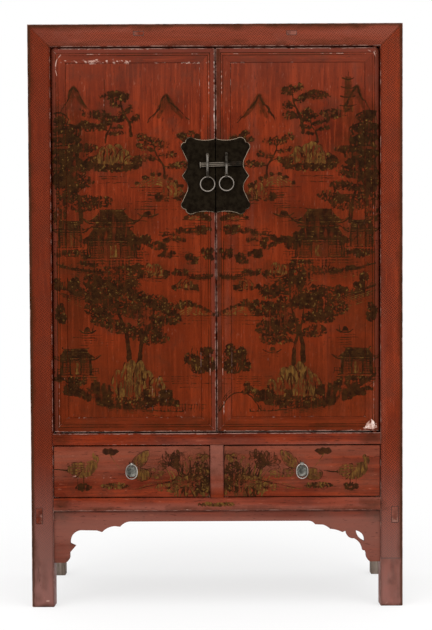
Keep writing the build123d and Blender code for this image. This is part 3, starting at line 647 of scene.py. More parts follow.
def swept(loop, place, start, end, step, seed, wear=(1.0, 1.0), rounds=(0, 0), shape=None):
    """Points, faces and finish channels of one board, swept from start(a, b) to end(a, b).

    The wear of its two long front edges is given for the low and for the high side of a.
    """
    a, b, near, on_front = loop
    s0, s1 = start(a, b) + 0 * a, end(a, b) + 0 * a
    length = (s1 - s0).max()
    share = stations(length, step, rounds)[:, None]
    s = s0 + (s1 - s0) * share
    side = np.where(a > (a.min() + a.max()) / 2, 1, -1)
    wear = np.where(side > 0, wear[1], wear[0])
    bite = wear * np.where(side > 0, chips(s, seed), chips(s, seed + 7)) * fall_off(near, 3.5 * MM)
    to_ends = list(zip((s - s0, s1 - s), rounds))
    inset = sum(end_inset(distance, radius) for distance, radius in to_ends)
    a_in, b_in = toward_middle(a, inset), toward_middle(b, inset)
    points = np.stack(place(a_in - 0.6 * side * bite, b_in + 0.6 * bite, s), -1)
    if shape is not None:
        points = shape(points)
    ends = sum(fall_off(distance, 4 * MM) for distance, radius in to_ends if radius)
    edge = fall_off(near, 2.6 * MM) + 0 * s
    edge = np.clip((edge + ends * 0.8) * np.minimum(wear, 1) + 0.35 * bite / MM, 0, 1)
    finish = np.stack([edge, on_front + 0 * s, 0 * s], -1)
    points, finish = points.reshape(-1, 3), finish.reshape(-1, 3)
    return points, tube_faces(points, len(share), len(a)), finish


def fall_off(distance, reach):
    return np.exp(-((distance / reach) ** 2))


def volume(points, rings, count):
    """The signed volume of a tube of rings, near enough to tell inside from outside."""
    tube = points.reshape(rings, count, 3)
    middle = tube.mean((0, 1))
    p, q, r = tube[:-1] - middle, np.roll(tube, -1, 1)[:-1] - middle, tube[1:] - middle
    return np.einsum("ijk,ijk->", p, np.cross(q, r))


def end_inset(distance, radius):
    """How far a rounded end pulls the section in, at a distance from the end."""
    if not radius:
        return 0 * distance
    share = np.clip(1 - distance / radius, 0, 1)
    return radius * (1 - np.sqrt(1 - share**2))


def toward_middle(values, inset):
    middle = (values.min() + values.max()) / 2
    return values - np.sign(values - middle) * np.minimum(inset, np.abs(values - middle))


def join_boards(name, boards, material, picture=None):
    """One object from several boards, each (points, faces, finish)."""
    points, faces, finish = [], [], []
    for board_points, board_faces, board_finish in boards:
        offset = sum(len(part) for part in points)
        points.append(board_points)
        faces += [[offset + index for index in face] for face in board_faces]
        finish.append(board_finish)
    points, finish = np.concatenate(points), np.concatenate(finish)
    if picture is not None:
        finish[:, 2] = picture.rim(points) * finish[:, 1]
    piece = mesh_piece(name, points, faces, material)
    paint(piece, "finish", finish)
    if picture is not None:
        paint(piece, "picture", picture.at(points) * finish[:, 1:2])
    return piece


def dress(piece, body, slot, *nodes):
    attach(piece, body)
    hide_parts(*nodes)


def worn_board(node, body, slot, parts, material, picture=None):
    """The worn boards that take the place of one CAD node."""
    dress(join_boards(f"{node}_worn", parts, material, picture), body, slot, node)


def constant(value):
    return lambda a, b: value


def upright(a, b, s):
    return a, b, s


def mirrored(sign):
    return lambda a, b, s: (sign * a, b, s)


def lying(a, b, s):
    return s, b, a


def mitre_share(p, q):
    """How far a three-way mitre cuts back: the larger of two shares, and none below 0."""
    return np.maximum(np.maximum(p, q), 0)


BOARD_STEP = 4 * MM
POST_STEP = 3 * MM
RAIL_STEP = 2.5 * MM
POST_CORNER = 2.5 * MM
RAIL_CORNER = 1.2 * MM
BEAD_BAND = 7 * MM


def make_posts(material, picture):
    def top(a, b):
        return HEIGHT - CORNER * mitre_share((OUTER - a) / CORNER, (b - FRONT) / POST_DEPTH)

    fine = ((INNER, INNER + BEAD_BAND),)
    loop = board_loop(INNER, OUTER, FRONT, POST_BACK, POST_STEP, POST_CORNER, bead_and_quirk(INNER), fine)
    for side, sign in SIDES.items():
        parts = swept(loop, mirrored(sign), constant(0.0), top, BOARD_STEP, 11 + sign, (0.8, 1.0), (3 * MM, 0))
        worn_board(f"{side}_front_post", "case", "frame_lacquer", [parts], material, picture)


def make_top_front_rail(material, picture):
    def right_end(a, b):
        return OUTER - CORNER * mitre_share((HEIGHT - a) / CORNER, (b - FRONT) / POST_DEPTH)

    low = UNDER_TOP_RAIL
    fine = ((low, low + BEAD_BAND),)
    loop = board_loop(low, HEIGHT, FRONT, POST_BACK, POST_STEP, POST_CORNER, bead_and_quirk(low), fine)
    rail = swept(loop, lying, lambda a, b: -right_end(a, b), right_end, BOARD_STEP, 21)
    lip_loop = board_loop(LIP_LOW, low + MM, DOOR_BACK + 0.5 * MM, POST_BACK, POST_STEP, 0.8 * MM)
    lip = swept(lip_loop, lying, constant(-INNER), constant(INNER), 20 * MM, 22, (0.5, 0.5))
    worn_board("top_front_rail", "case", "frame_lacquer", [rail, lip], material, picture)


def make_top_side_rails(material):
    def front_end(a, b):
        return FRONT + POST_DEPTH * mitre_share(b / CORNER, (HEIGHT - a) / CORNER)

    def rear_end(a, b):
        return BACK - POST_DEPTH * b / CORNER

    loop = board_loop(UNDER_TOP_RAIL, HEIGHT, 0.0, CORNER, POST_STEP, POST_CORNER)
    for side, sign in SIDES.items():
        def place(a, b, s, sign=sign):
            return sign * (OUTER - b), s, a

        parts = swept(loop, place, front_end, rear_end, 5 * MM, 31 + sign)
        worn_board(f"{side}_top_rail", "case", "frame_lacquer", [parts], material)


def make_front_rails(sill_material, low_material, picture):
    """The sill below the doors, the rail below the drawers and the stile between the drawers."""

    def board(node, section, relief, fine, place, ends, seed, wear, material):
        loop = board_loop(*section, FRONT, RAIL_BACK, RAIL_STEP, RAIL_CORNER, relief, fine)
        parts = swept(loop, place, constant(ends[0]), constant(ends[1]), BOARD_STEP, seed, wear)
        worn_board(node, "case", "frame_lacquer", [parts], material, picture)

    across = (-INNER, INNER)
    line = quirk_at(SILL_TOP - 12 * MM, 2 * MM, 0.9 * MM)
    relief = together(bead_at(UNDER_SILL), bead_at(SILL_TOP - BEAD_WIDTH), line)
    fine = ((UNDER_SILL, UNDER_SILL + 6 * MM), (SILL_TOP - 14 * MM, SILL_TOP))
    board("door_sill_rail", (UNDER_SILL, SILL_TOP), relief, fine, lying, across, 41, (0.4, 1.4), sill_material)

    low = UNDER_BOTTOM_RAIL
    relief, fine = bead_and_quirk(low), ((low, low + BEAD_BAND),)
    board("bottom_front_rail", (low, DRAWER_FLOOR), relief, fine, lying, across, 44, (1.0, 0.35), low_material)

    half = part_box("drawer_divider")[1].x
    relief = together(bead_at(-half), bead_at(half - BEAD_WIDTH))
    fine = ((-half, -half + 5 * MM), (half - 5 * MM, half))
    up = (DRAWER_FLOOR, UNDER_SILL)
    board("drawer_divider", (-half, half), relief, fine, upright, up, 47, (0.4, 0.4), low_material)


# Doors, built for the right
MOULD_LINES = (14.5 * MM, 21.5 * MM)
EDGE_BAND = 12 * MM
MITRE_GAP = 0.25 * MM
MOULDED = 24 * MM
DOOR_STEP = 1.6 * MM
DOOR_CORNER = 1.6 * MM
DOOR_MIDDLE_Y = (FRONT + DOOR_BACK) / 2
FAR_FROM_EDGE = 50 * MM


def mould(distance):
    """The moulding of the door frame: a low band round the edge, two fine grooves, then flat."""
    band = 0.5 * MM * (1 - np.clip((distance - EDGE_BAND) / (2 * MM), 0, 1))
    grooves = sum(quirk_at(line, 2.4 * MM, 0.9 * MM)(distance) for line in MOULD_LINES)
    return band + grooves


def shape_door(points, corners):
    """Wears the door's corners round, by (x end, z end): radius."""
    x, y, z = points[..., 0].copy(), points[..., 1], points[..., 2].copy()
    for (x_end, z_end), radius in corners.items():
        x_way = 1 if x_end == DOOR_OUTER else -1
        z_way = 1 if z_end == DOOR_HIGH else -1
        cx, cz = x_end - radius * x_way, z_end - radius * z_way
        dx, dz = x - cx, z - cz
        reach = np.hypot(dx, dz)
        outside = (dx * x_way > 0) & (dz * z_way > 0) & (reach > radius)
        pull = np.where(outside, radius / np.maximum(reach, 1e-9), 1)
        x, z = cx + dx * pull, cz + dz * pull
    return np.stack([x, y, z], -1)


def frame_member(edges, ends):
    """The relief of a door frame's board and its two mitred ends, from the door's edges across and along it."""

    def inward(a):
        return np.minimum(a - edges[0], edges[1] - a)

    def start(a, b):
        return ends[0] + inward(a).clip(0) + MITRE_GAP

    def end(a, b):
        return ends[1] - inward(a).clip(0) - MITRE_GAP

    return lambda a: mould(inward(a)), start, end


def make_door(side, sign, picture, materials):
    x0, x1, z0, z1 = DOOR_INNER, DOOR_OUTER, DOOR_LOW, DOOR_HIGH
    top = z1 - DOOR_FRAME
    worn_off = 17 * MM if sign > 0 else 6 * MM
    corners = {(x0, z0): 4 * MM, (x0, z1): 5 * MM, (x1, z0): 5 * MM, (x1, z1): worn_off}
    seed = 60 + 10 * sign

    def shape(points):
        points = shape_door(points, corners)
        points[..., 0] *= sign
        return points

    def rail_shape(points):
        return shape(fall_back(points))

    def loop(low, relief, fine_low, fine_high):
        high = low + DOOR_FRAME
        return board_loop(low, high, FRONT, DOOR_BACK, DOOR_STEP, DOOR_CORNER, relief, ((fine_low, fine_high),))

    stile_relief, *stile_ends = frame_member((x0, x1), (z0, z1))
    rail_relief, *rail_ends = frame_member((z0, z1), (x0, x1))
    lock_loop = loop(x0, stile_relief, x0, x0 + MOULDED)
    low_loop = loop(z0, rail_relief, z0, z0 + MOULDED)
    top_loop = loop(top, rail_relief, top + DOOR_FRAME - MOULDED, top + DOOR_FRAME)
    for name, section, way, number, wear in (
        ("lock_stile", lock_loop, "upright", 0, (0.85, 0.25)),
        ("hinge_stile", hinge_stile_loop(stile_relief), "upright", 1, (0.25, 1.0)),
        ("bottom_rail", low_loop, "lying", 3, (1.3, 0.25)),
        ("top_rail", top_loop, "lying", 4, (0.4, 1.4)),
    ):
        place, ends, form = (upright, stile_ends, shape) if way == "upright" else (lying, rail_ends, rail_shape)
        parts = [swept(section, place, *ends, DOOR_STEP, seed + number, wear, shape=form)]
        if name == "hinge_stile":
            parts += make_pivots(sign)
        worn_board(f"{side}_door_{name}", f"{side}_door", "door_lacquer", parts, materials[way], picture)

    make_door_panel(side, sign, picture, materials["upright"], seed)


def fall_back(points):
    """Follows the half-round hinge edge at the end of a door rail."""
    x, y = points[..., 0], points[..., 1]
    over = np.clip((x - HINGE_X) / HINGE_RADIUS, 0, 0.999)
    half = HINGE_RADIUS * np.sqrt(1 - over**2)
    points[..., 1] = DOOR_MIDDLE_Y + (y - DOOR_MIDDLE_Y) * half / HINGE_RADIUS
    return points


def hinge_stile_loop(relief):
    """The section of a hinge stile: flat front and back, and half round about the pivots."""
    x0, x1 = DOOR_OUTER - DOOR_FRAME, HINGE_X
    in_front = FRONT + 0.8 * MM
    across = np.arange(x0 + 0.8 * MM, x1, DOOR_STEP)
    across = np.unique(np.concatenate([across, np.arange(DOOR_OUTER - MOULDED, x1, FINE_STEP)]))
    turn = np.linspace(-math.pi / 2, math.pi / 2, 25)
    front = [(x0, in_front)] + [(x, FRONT) for x in across]
    arc = [(x1 + HINGE_RADIUS * math.cos(t), DOOR_MIDDLE_Y + HINGE_RADIUS * math.sin(t)) for t in turn]
    back = [(x, DOOR_BACK) for x in np.linspace(x1, x0, 5)[1:]]
    side = [(x0, y) for y in np.linspace(DOOR_BACK, in_front, 5)[1:-1]]
    a, b = np.array(front + arc + back + side).T
    on_front = ((b < DOOR_MIDDLE_Y - 1 * MM) & (a > x0 + 0.1 * MM)) * 1.0
    recess = np.where(b < DOOR_MIDDLE_Y, relief(a) * (a < x1 + 2 * MM), 0) * on_front
    near = np.where(b < DOOR_MIDDLE_Y, np.abs(a - x0), FAR_FROM_EDGE)
    return a, b + recess, near, on_front


def make_pivots(sign):
    """The wooden pivots at the ends of a hinge stile, each with a rounded end."""
    turn = np.linspace(0, 2 * math.pi, 25)[:-1]
    a, b = HINGE_X + PIVOT_RADIUS * np.cos(turn), DOOR_MIDDLE_Y + PIVOT_RADIUS * np.sin(turn)
    loop = (a, b, 0 * a + FAR_FROM_EDGE, 0 * a)
    root = 6 * MM
    return [
        swept(loop, mirrored(sign), constant(low), constant(high), BOARD_STEP, 1, UNWORN, rounds)
        for low, high, rounds in (
            (PIVOT_LOW, DOOR_LOW + root, (2 * MM, 0)), (DOOR_HIGH - root, PIVOT_HIGH, (0, 2 * MM)))
    ]


PANEL_GAP = 0.6 * MM
PANEL_SEAM = 0.7


def make_door_panel(side, sign, picture, material, seed):
    """The panel, of two boards glued edge to edge."""
    x0, x1 = DOOR_INNER + DOOR_FRAME + PANEL_GAP, DOOR_OUTER - DOOR_FRAME - PANEL_GAP
    z0, z1 = DOOR_LOW + DOOR_FRAME + PANEL_GAP, DOOR_HIGH - DOOR_FRAME - PANEL_GAP
    seam = x0 + (x1 - x0) * PANEL_SEAM
    for number, (low, high) in enumerate(((x0, seam), (seam, x1))):
        loop = board_loop(low, high, PANEL_FRONT, PANEL_BACK, 2 * MM, 0.5 * MM)
        parts = [swept(loop, mirrored(sign), constant(z0), constant(z1), 1.8 * MM, seed + 8 + number, (0.2, 0.2))]
        piece = join_boards(f"{side}_door_panel_board_{number + 1}", parts, material, picture)
        dress(piece, f"{side}_door", "door_lacquer", f"{side}_door_panel")


def make_drawer_front(side, sign, picture, material):
    low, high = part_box(f"{side}_drawer_front")
    x0, x1 = sorted((abs(low.x), abs(high.x)))
    loop = board_loop(x0, x1, FRONT, high.y, DOOR_STEP, DOOR_CORNER)
    ends = (1.5 * MM, 1.5 * MM)
    parts = swept(loop, mirrored(sign), constant(low.z), constant(high.z), DOOR_STEP, 90 + sign, (0.4, 0.4), ends)
    worn_board(f"{side}_drawer_front", f"{side}_drawer", "drawer_lacquer", [parts], material, picture)


# Pictures
GOLD, INK, BARE, GLAZE = range(4)
ALL_CELLS = (slice(None), slice(None))
RIM = 14
DOOR_FRAME_CELLS = 44


class Canvas:
    """A sheet over one front, one cell a millimetre, with layers of gold, ink, bare spots and brown glaze."""

    def __init__(self, x0, x1, z0, z1, sign, seed):
        self.x0, self.z0, self.sign = x0, z0, sign
        self.width, self.height = round((x1 - x0) / MM), round((z1 - z0) / MM)
        self.layers = np.zeros((4, self.height + 1, self.width + 1))
        self.chance = np.random.default_rng(seed)

    def at(self, points):
        """The layers at points of the front."""
        return self.sample((self.sign * points[:, 0] - self.x0) / MM, (points[:, 2] - self.z0) / MM).T

    def rim(self, points):
        """How near points are to the left, right or top edge of the sheet: 1 on the edge, 0 from the rim's width."""
        u, v = (self.sign * points[:, 0] - self.x0) / MM, (points[:, 2] - self.z0) / MM
        return np.clip(1 - np.minimum(np.minimum(u, self.width - u), self.height - v) / RIM, 0, 1)

    def sample(self, u, v):
        """The layers at places on the sheet, smoothly between cells."""
        u, v = np.clip(u, 0, self.width - 1e-6), np.clip(v, 0, self.height - 1e-6)
        i, j = u.astype(int), v.astype(int)
        fu, fv = u - i, v - j
        low = self.layers[:, j, i] * (1 - fu) + self.layers[:, j, i + 1] * fu
        high = self.layers[:, j + 1, i] * (1 - fu) + self.layers[:, j + 1, i + 1] * fu
        return low * (1 - fv) + high * fv

    def sheet(self):
        """The places of all cells."""
        return np.meshgrid(np.arange(self.width + 1), np.arange(self.height + 1))

    def smear(self, reach, low, high):
        """Makes the brushwork unsteady, and wears it in clouds and in streaks along the grain."""
        x, z = self.sheet()
        self.layers = self.sample(x + reach * cloudy(x, z, 12, 71), z + reach * cloudy(x, z, 12, 72))
        kept = np.clip(0.66 + 0.9 * cloudy(x, z, 46, 73, 4), 0, 1)
        streaks = np.clip(0.92 + 0.55 * cloudy(x, z * 0.07, 4, 74, 2), 0.35, 1)
        self.layers[:2] *= (low + (high - low) * kept) * streaks

    def cells(self, points, margin):
        """The cells round some points, and the places of their middles."""
        low = np.floor(np.min(points, 0) - margin).astype(int)
        high = np.ceil(np.max(points, 0) + margin).astype(int) + 1
        i0, i1 = np.clip((low[0], high[0]), 0, self.width + 1)
        j0, j1 = np.clip((low[1], high[1]), 0, self.height + 1)
        x, z = np.meshgrid(np.arange(i0, i1), np.arange(j0, j1))
        return (slice(j0, j1), slice(i0, i1)), x, z

    def lay(self, layer, cells, cover):
        """Lays paint over what is there: ink and bare spots hide the gold below them."""
        self.layers[layer][cells] = np.maximum(self.layers[layer][cells], cover)
        if layer in (INK, BARE):
            self.layers[GOLD][cells] *= 1 - cover

    def stroke(self, layer, points, width, end_width=None, strength=1.0):
        """A brush stroke along points, that thins or swells to its end."""
        points = np.asarray(points, float)
        end_width = width if end_width is None else end_width
        cells, x, z = self.cells(points, max(width, end_width))
        cover = np.zeros(x.shape)
        shares = np.linspace(0, 1, len(points))
        for p, q, first, last in zip(points, points[1:], shares, shares[1:]):
            run = q - p
            along = np.clip(((x - p[0]) * run[0] + (z - p[1]) * run[1]) / max(run @ run, 1e-6), 0, 1)
            far = np.hypot(x - p[0] - along * run[0], z - p[1] - along * run[1])
            half = (width + (end_width - width) * (first + (last - first) * along)) / 2
            cover = np.maximum(cover, np.clip(half + 0.5 - far, 0, 1))
        self.lay(layer, cells, cover * strength)

    def level(self, layer, x0, x1, z, *brush):
        """A stroke from x0 to x1 at one height."""
        self.stroke(layer, [(x0, z), (x1, z)], *brush)

    def plumb(self, layer, x, z0, z1, *brush):
        """A stroke straight up from z0 to z1."""
        self.stroke(layer, [(x, z0), (x, z1)], *brush)

    def dab(self, layer, x, z, long, short, turn=0.0, strength=1.0):
        cells, gx, gz = self.cells([(x, z)], long)
        u = (gx - x) * math.cos(turn) + (gz - z) * math.sin(turn)
        v = (gz - z) * math.cos(turn) - (gx - x) * math.sin(turn)
        self.lay(layer, cells, np.clip((1 - np.hypot(u / long, v / short)) * short + 0.5, 0, 1) * strength)

    def wash(self, layer, points, strength):
        """A filled outline."""
        points = np.asarray(points, float)
        cells, x, z = self.cells(points, 1)
        inside = np.zeros(x.shape, bool)
        for (px, pz), (qx, qz) in zip(points, np.roll(points, -1, 0)):
            if pz != qz:
                inside ^= ((pz > z) != (qz > z)) & (x < (qx - px) * (z - pz) / (qz - pz) + px)
        if layer == GOLD:
            self.layers[INK][cells] *= 1 - 0.75 * strength * inside
        self.lay(layer, cells, inside * strength)

    def glaze(self, x, z, reach, rise, strength):
        """A soft brown cloud."""
        cells, gx, gz = self.cells([(x, z)], max(reach, rise))
        far = np.hypot((gx - x) / reach, (gz - z) / rise) * (1 + 0.5 * cloudy(gx, gz, 34, 8))
        self.lay(GLAZE, cells, strength * np.clip(1.15 - far, 0, 1) ** 0.7)

    def glazes(self, count, *spans):
        """Soft brown clouds, with each measure given or drawn between two levels."""
        for _ in range(count):
            self.glaze(*(self.some(*span) if isinstance(span, tuple) else span for span in spans))

    def flecks(self, x0, x1, z, spread, count, strength):
        """Ragged little chips along a level line."""
        for _ in range(count):
            x = self.some(x0, x1)
            long, short = self.some(1.2, 6.0), self.some(0.8, 2.2)
            up, turn = self.some(-1, 1) * spread, self.some(-0.5, 0.5)
            self.dab(BARE, x, z + up, long, short, turn, self.some(0.4, 1) * strength)

    def some(self, low, high):
        return self.chance.uniform(low, high)


def curve(points, steps=5):
    """A smooth line through points."""
    points = np.asarray(points, float)
    knots = np.concatenate([[2 * points[0] - points[1]], points, [2 * points[-1] - points[-2]]])
    t = np.linspace(0, 1, steps, endpoint=False)[:, None]
    runs = []
    for a, b, c, d in zip(knots, knots[1:], knots[2:], knots[3:]):
        bend = (2 * a - 5 * b + 4 * c - d) * t**2 + (3 * b - a - 3 * c + d) * t**3
        runs.append(0.5 * (2 * b + (c - a) * t + bend))
    return np.concatenate([*runs, points[-1:]])


def spots(x, z, wide, high, *shares):
    """Places from a foot point, given as shares of a width and a height."""
    return np.array(shares, float) * (wide, high) + (x, z)


def block(x, z, foot, top, high):
    """The outline of a wall: half its width at the foot and at the top, and its height."""
    return [(x - foot, z), (x + foot, z), (x + top, z + high), (x - top, z + high)]


def paint_leaves(c, x, z, reach, rise, gold=0.2, share=1.0):
    """A cloud of small leaves, over a faint brown ground."""
    c.glaze(x, z, reach * 1.15, rise * 1.15, 0.5)
    for _ in range(int(reach * rise * 0.23 * share) + 8):
        angle, far = c.some(0, 2 * math.pi), math.sqrt(c.some(0, 1))
        layer = GOLD if c.some(0, 1) < gold else INK
        place = x + reach * far * math.cos(angle), z + rise * far * math.sin(angle)
        long = c.some(1.9, 4.8)
        c.dab(layer, *place, long, long * c.some(0.35, 0.65), c.some(0, math.pi), c.some(0.75, 1.0))


def paint_peak(c, x, z, width, height):
    """A far mountain: two slopes in broken brushwork, with lighter folds inside."""
    for way, reach in ((-1, 0.55), (1, 0.45)):
        for fold, strength in ((0.0, 0.9), (0.04, 0.6), (0.3, 0.5), (0.5, 0.4)):
            top = x + way * width * (0.02 + 0.2 * fold), z + height * (1 - fold)
            points = [top]
            for share in (0.2, 0.42, 0.6, 0.8, 1.0):
                across = x + way * width * (reach * share + 0.1 * fold) + c.some(-5, 5)
                points.append((across, z + height * (1 - fold) * (1 - share) ** 1.1 + c.some(-5, 5)))
            c.stroke(INK, curve(points), 6.5 - 8 * fold, 2.2, strength)
    for way, reach in ((-1, 0.4), (1, 0.2)):
        side = spots(x, z, way * width, height, (0, 0.94), (reach * 0.5, 0.5), (reach, 0.16))
        c.stroke(GLAZE, curve(side), 20, 9, 0.85)
    for _ in range(9):
        root = x + c.some(-0.16, 0.2) * width, z + height * c.some(0.3, 0.75)
        tip = root[0] + c.some(-3, 9), root[1] - height * c.some(0.1, 0.25)
        c.stroke(INK, [root, tip], 2.4, 1.2, c.some(0.3, 0.7))
    c.glaze(x, z + height * 0.6, width * 0.3, height * 0.4, 0.5)


def paint_tree(c, x, z, height, lean, spread, gold=0.2, share=1.0):
    """A tree with a bent trunk, side branches and leaves in clouds."""
    bends = [(0, 0), (lean * 0.15, 0.32), (lean * 0.75, 0.66), (lean, 1)]
    trunk = curve([(x + across, z + height * up) for across, up in bends])
    c.stroke(INK, trunk, height * 0.06 + 3, 3)
    c.stroke(GOLD, trunk[: len(trunk) // 2] + (1.4, 0), 1.8, 1.4, 0.7)
    for number, share_up in enumerate((0.36, 0.48, 0.6, 0.74, 0.88, 1.0)):
        root = trunk[int(share_up * (len(trunk) - 1))]
        way = 1 if number % 2 else -1
        reach = spread * c.some(0.6, 1.0) * (1.15 - 0.45 * share_up)
        tip = root + (way * reach, height * c.some(0.02, 0.14))
        elbow = (root + tip) / 2 + (0, height * c.some(-0.03, 0.05))
        c.stroke(INK, curve([root, elbow, tip]), 4.2, 2.2)
        paint_leaves(c, *tip, reach * 0.52, height * 0.1, gold, share)
        paint_leaves(c, *elbow, reach * 0.4, height * 0.075, gold, share * 0.8)
    paint_leaves(c, *trunk[-1], spread * 0.45, height * 0.11, gold, share)


def paint_bush(c, x, z, reach, rise, gold=0.2):
    """A bush: bent twigs from its foot, in ragged tiers of leaves."""
    for _ in range(int(reach * 0.5)):
        lean = c.some(-1, 1)
        tip = x + lean * reach, z + rise * c.some(0.4, 1.0) * (1 - 0.45 * lean**2)
        middle = x + lean * reach * 0.6 + c.some(-4, 4), z + rise * c.some(0.2, 0.5)
        c.stroke(INK, curve([(x + lean * reach * 0.3, z), middle, tip]), 2.4, 1.5, 0.8)
    for _ in range(7):
        lean = c.some(-0.8, 0.8)
        place = x + lean * reach, z + rise * c.some(0.15, 0.9) * (1 - 0.4 * abs(lean))
        paint_leaves(c, *place, reach * c.some(0.22, 0.4), rise * c.some(0.14, 0.24), gold, 2.2)


LUMP = ((-1, 0), (-0.95, 0.55), (-0.75, 0.84), (-0.2, 1), (0.4, 0.96), (0.85, 0.7), (1, 0.4), (0.9, 0))


def paint_rock(c, x, z, width, height, lumps):
    """A garden rock: tall rounded lumps of gold, one before the other, with dark clefts and streaks down them."""
    c.glaze(x - width * 0.3, z + height * 0.35, width * 0.34, height * 0.6, 0.6)
    for share in c.chance.permutation(np.linspace(-0.95, 0.95, lumps)):
        tall = height * (1 - 0.6 * abs(share) ** 1.5) * c.some(0.78, 1.0)
        half = width / lumps * c.some(0.7, 1.05)
        middle, lean = x + share * width * 0.4, c.some(-5, 5)
        lump = curve([(middle + half * across + lean * up, z + tall * up) for across, up in LUMP])
        c.wash(GOLD, lump, 0.9)
        c.stroke(INK, lump[: len(lump) // 2], 2.2, 1.6, 0.6)
        c.stroke(INK, lump[len(lump) // 2 :], 3.4, 2.4, 0.85)
        for _ in range(int(half / 2.2) + 2):
            across = c.some(-0.75, 0.85)
            top, foot = tall * (0.94 - 0.4 * abs(across)) * c.some(0.8, 1), tall * c.some(0.08, 0.5)
            low = middle + half * across
            bent = low + c.some(-5, 5)
            high = middle + half * across * 0.75 + lean
            streak = curve([(high, z + top), (bent, z + (top + foot) / 2), (low, z + foot)])
            c.stroke(INK, streak, c.some(1.6, 3.2), 1.4, c.some(0.4, 0.9))
        if c.some(0, 1) < 0.6:
            hollow = middle + c.some(-0.3, 0.3) * half, z + tall * c.some(0.3, 0.7)
            c.dab(INK, *hollow, c.some(4, 8), c.some(2, 3.6), c.some(1.0, 2.1), 0.85)
    for _ in range(int(width / 3)):
        share = c.some(-0.62, 0.62)
        c.dab(INK, x + share * width, z + c.some(-4, 8), c.some(3, 7), 2.6, c.some(-0.6, 0.6), 0.85)
    for way in (-1, 1):
        paint_leaves(c, x + way * width * 0.5, z + height * 0.16, width * 0.13, height * 0.2, 0.12, 2.2)


def paint_water(c, x, z, width, rows):
    """Ripples, one row below the other."""
    for row in range(rows):
        half = width * c.some(0.2, 0.5)
        middle = x + c.some(-0.25, 0.25) * width
        down = z - 8 * row + c.some(-2, 2)
        ripple = [(middle - half, down), (middle, down + c.some(-1.5, 1.5)), (middle + half, down)]
        c.stroke(INK, curve(ripple), 1.8, 2.8, 0.85)


def paint_island(c, x, z, width, rise):
    """A low island: gold ground over a dark shore, with tufts on top and ripples below."""
    top = curve(spots(x, z, width, rise, (-0.5, 0), (-0.24, 0.7), (0.08, 1), (0.5, 0)))
    for share in np.linspace(0.95, 0.25, 5):
        line = (x, z) + (top - (x, z)) * share
        c.stroke(GOLD, line, rise * 0.2 + 2, 3, 0.9)
        c.stroke(INK, line + (c.some(-4, 4), rise * 0.12), 2.2, 1.4, 0.75)
    c.stroke(INK, [(x - width * 0.56, z - 1), (x, z - 2), (x + width * 0.56, z)], 3.6, 3.0, 0.85)
    for place in top[::2]:
        paint_leaves(c, place[0], place[1] + 3, c.some(5, 11), c.some(3, 7), 0.2, 3)
    paint_water(c, x, z - 9, width * 1.1, 3)


def paint_bank(c, line, depth, gold):
    """Ground that falls away below a line, dark at its rim, with tufts of grass on it."""
    line = curve(line, 8)
    rows = int(depth / 5)
    for row in range(rows):
        strength = 0.9 - 0.55 * row / rows
        start = int(c.some(0, 0.25) * len(line)) if row else 0
        end = int(c.some(0.75, 1.0) * len(line)) if row else len(line)
        c.stroke(INK, line[start:end] - (0, 5 * row), 5.4 if row < 2 else 3.6, 3, strength)
        if c.some(0, 1) < gold:
            c.stroke(GOLD, line[start:end] - (0, 5 * row - 2), 2.6, 2, 0.7)
    for place in line[:: max(len(line) // 14, 1)]:
        for _ in range(4):
            c.stroke(INK, [place, place + (c.some(-6, 6), c.some(5, 12))], 2.1, 1.4, 0.85)


def paint_fence(c, x0, x1, z, high):
    """A railing of posts with two rails."""
    for up, width in ((high, 2.2), (high * 0.5, 1.7)):
        c.level(INK, x0, x1, z + up, width, width, 0.9)
    for place in np.arange(x0, x1 + 1, 9):
        c.plumb(INK, place, z, z + high + 2, 2.2, 2.2, 0.9)


def paint_roof(c, x, z, half, rise, ridge):
    """A tiled roof: dark and low, with long upturned eaves, gold ribs and a gold ridge."""
    tip = (half + 8, rise * 0.42)
    right = [(ridge, rise), (ridge + (half - ridge) * 0.3, rise * 0.36), (half * 0.86, rise * 0.02), tip]
    right = curve([(x + across, z + up) for across, up in right])
    left = right * (-1, 1) + (2 * x, 0)
    low = [(-tip[0], tip[1]), (-half * 0.8, -4), (0, -5), (half * 0.8, -4), tip]
    eave = curve([(x + across, z + up) for across, up in low])
    c.wash(INK, np.concatenate([left[::-1], right, eave[::-1]]), 0.9)
    for share in np.linspace(-0.92, 0.92, max(int(half / 6), 5)):
        top, foot = (x + share * ridge, z + rise * 0.9), (x + share * half * 0.9, z)
        middle = x + share * (ridge + (half - ridge) * 0.35), z + rise * 0.36
        c.stroke(GOLD, curve([top, middle, foot], 3), 1.6, 1.6, c.some(0.3, 0.7))
    for up in (0.24, 0.46, 0.68):
        reach = half + (ridge - half) * up**0.5
        row = curve([(x - reach, z + rise * up), (x, z + rise * (up - 0.06)), (x + reach, z + rise * up)])
        c.stroke(GOLD, row, 2.2, 1.8, c.some(0.55, 0.9))
    c.stroke(GOLD, eave - (0, 1), 2.4, 2.4, 0.8)
    c.stroke(INK, eave - (0, 4.5), 4.6, 4.0, 0.95)
    for drop, share in ((11, 0.84), (16, 0.7)):
        c.level(INK, x - half * share, x + half * share, z - drop, 2.8, 2.8, 0.85)
    ends = ((-ridge - 6, 4), (-ridge, 0), (ridge, 0), (ridge + 6, 4))
    top = np.array([(x + across, z + rise + up) for across, up in ends])
    c.stroke(INK, top + (0, 2), 3.6)
    c.stroke(GOLD, top, 2.2, 2.2, 0.8)


def paint_lattice(c, x0, x1, z0, z1, pitch=9.0):
    """Crossed bars, in ink with gold beside the uprights."""
    for across in np.arange(x0, x1 + 1, pitch):
        c.plumb(INK, across, z0, z1, 2.4, 2.4, 0.85)
        c.plumb(GOLD, across + 2.6, z0 + 2, z1 - 2, 1.8, 1.8, c.some(0.2, 0.7))
    for up in np.arange(z0, z1 + 1, pitch * 0.8):
        c.level(INK, x0, x1, up, 2.2, 2.2, 0.8)


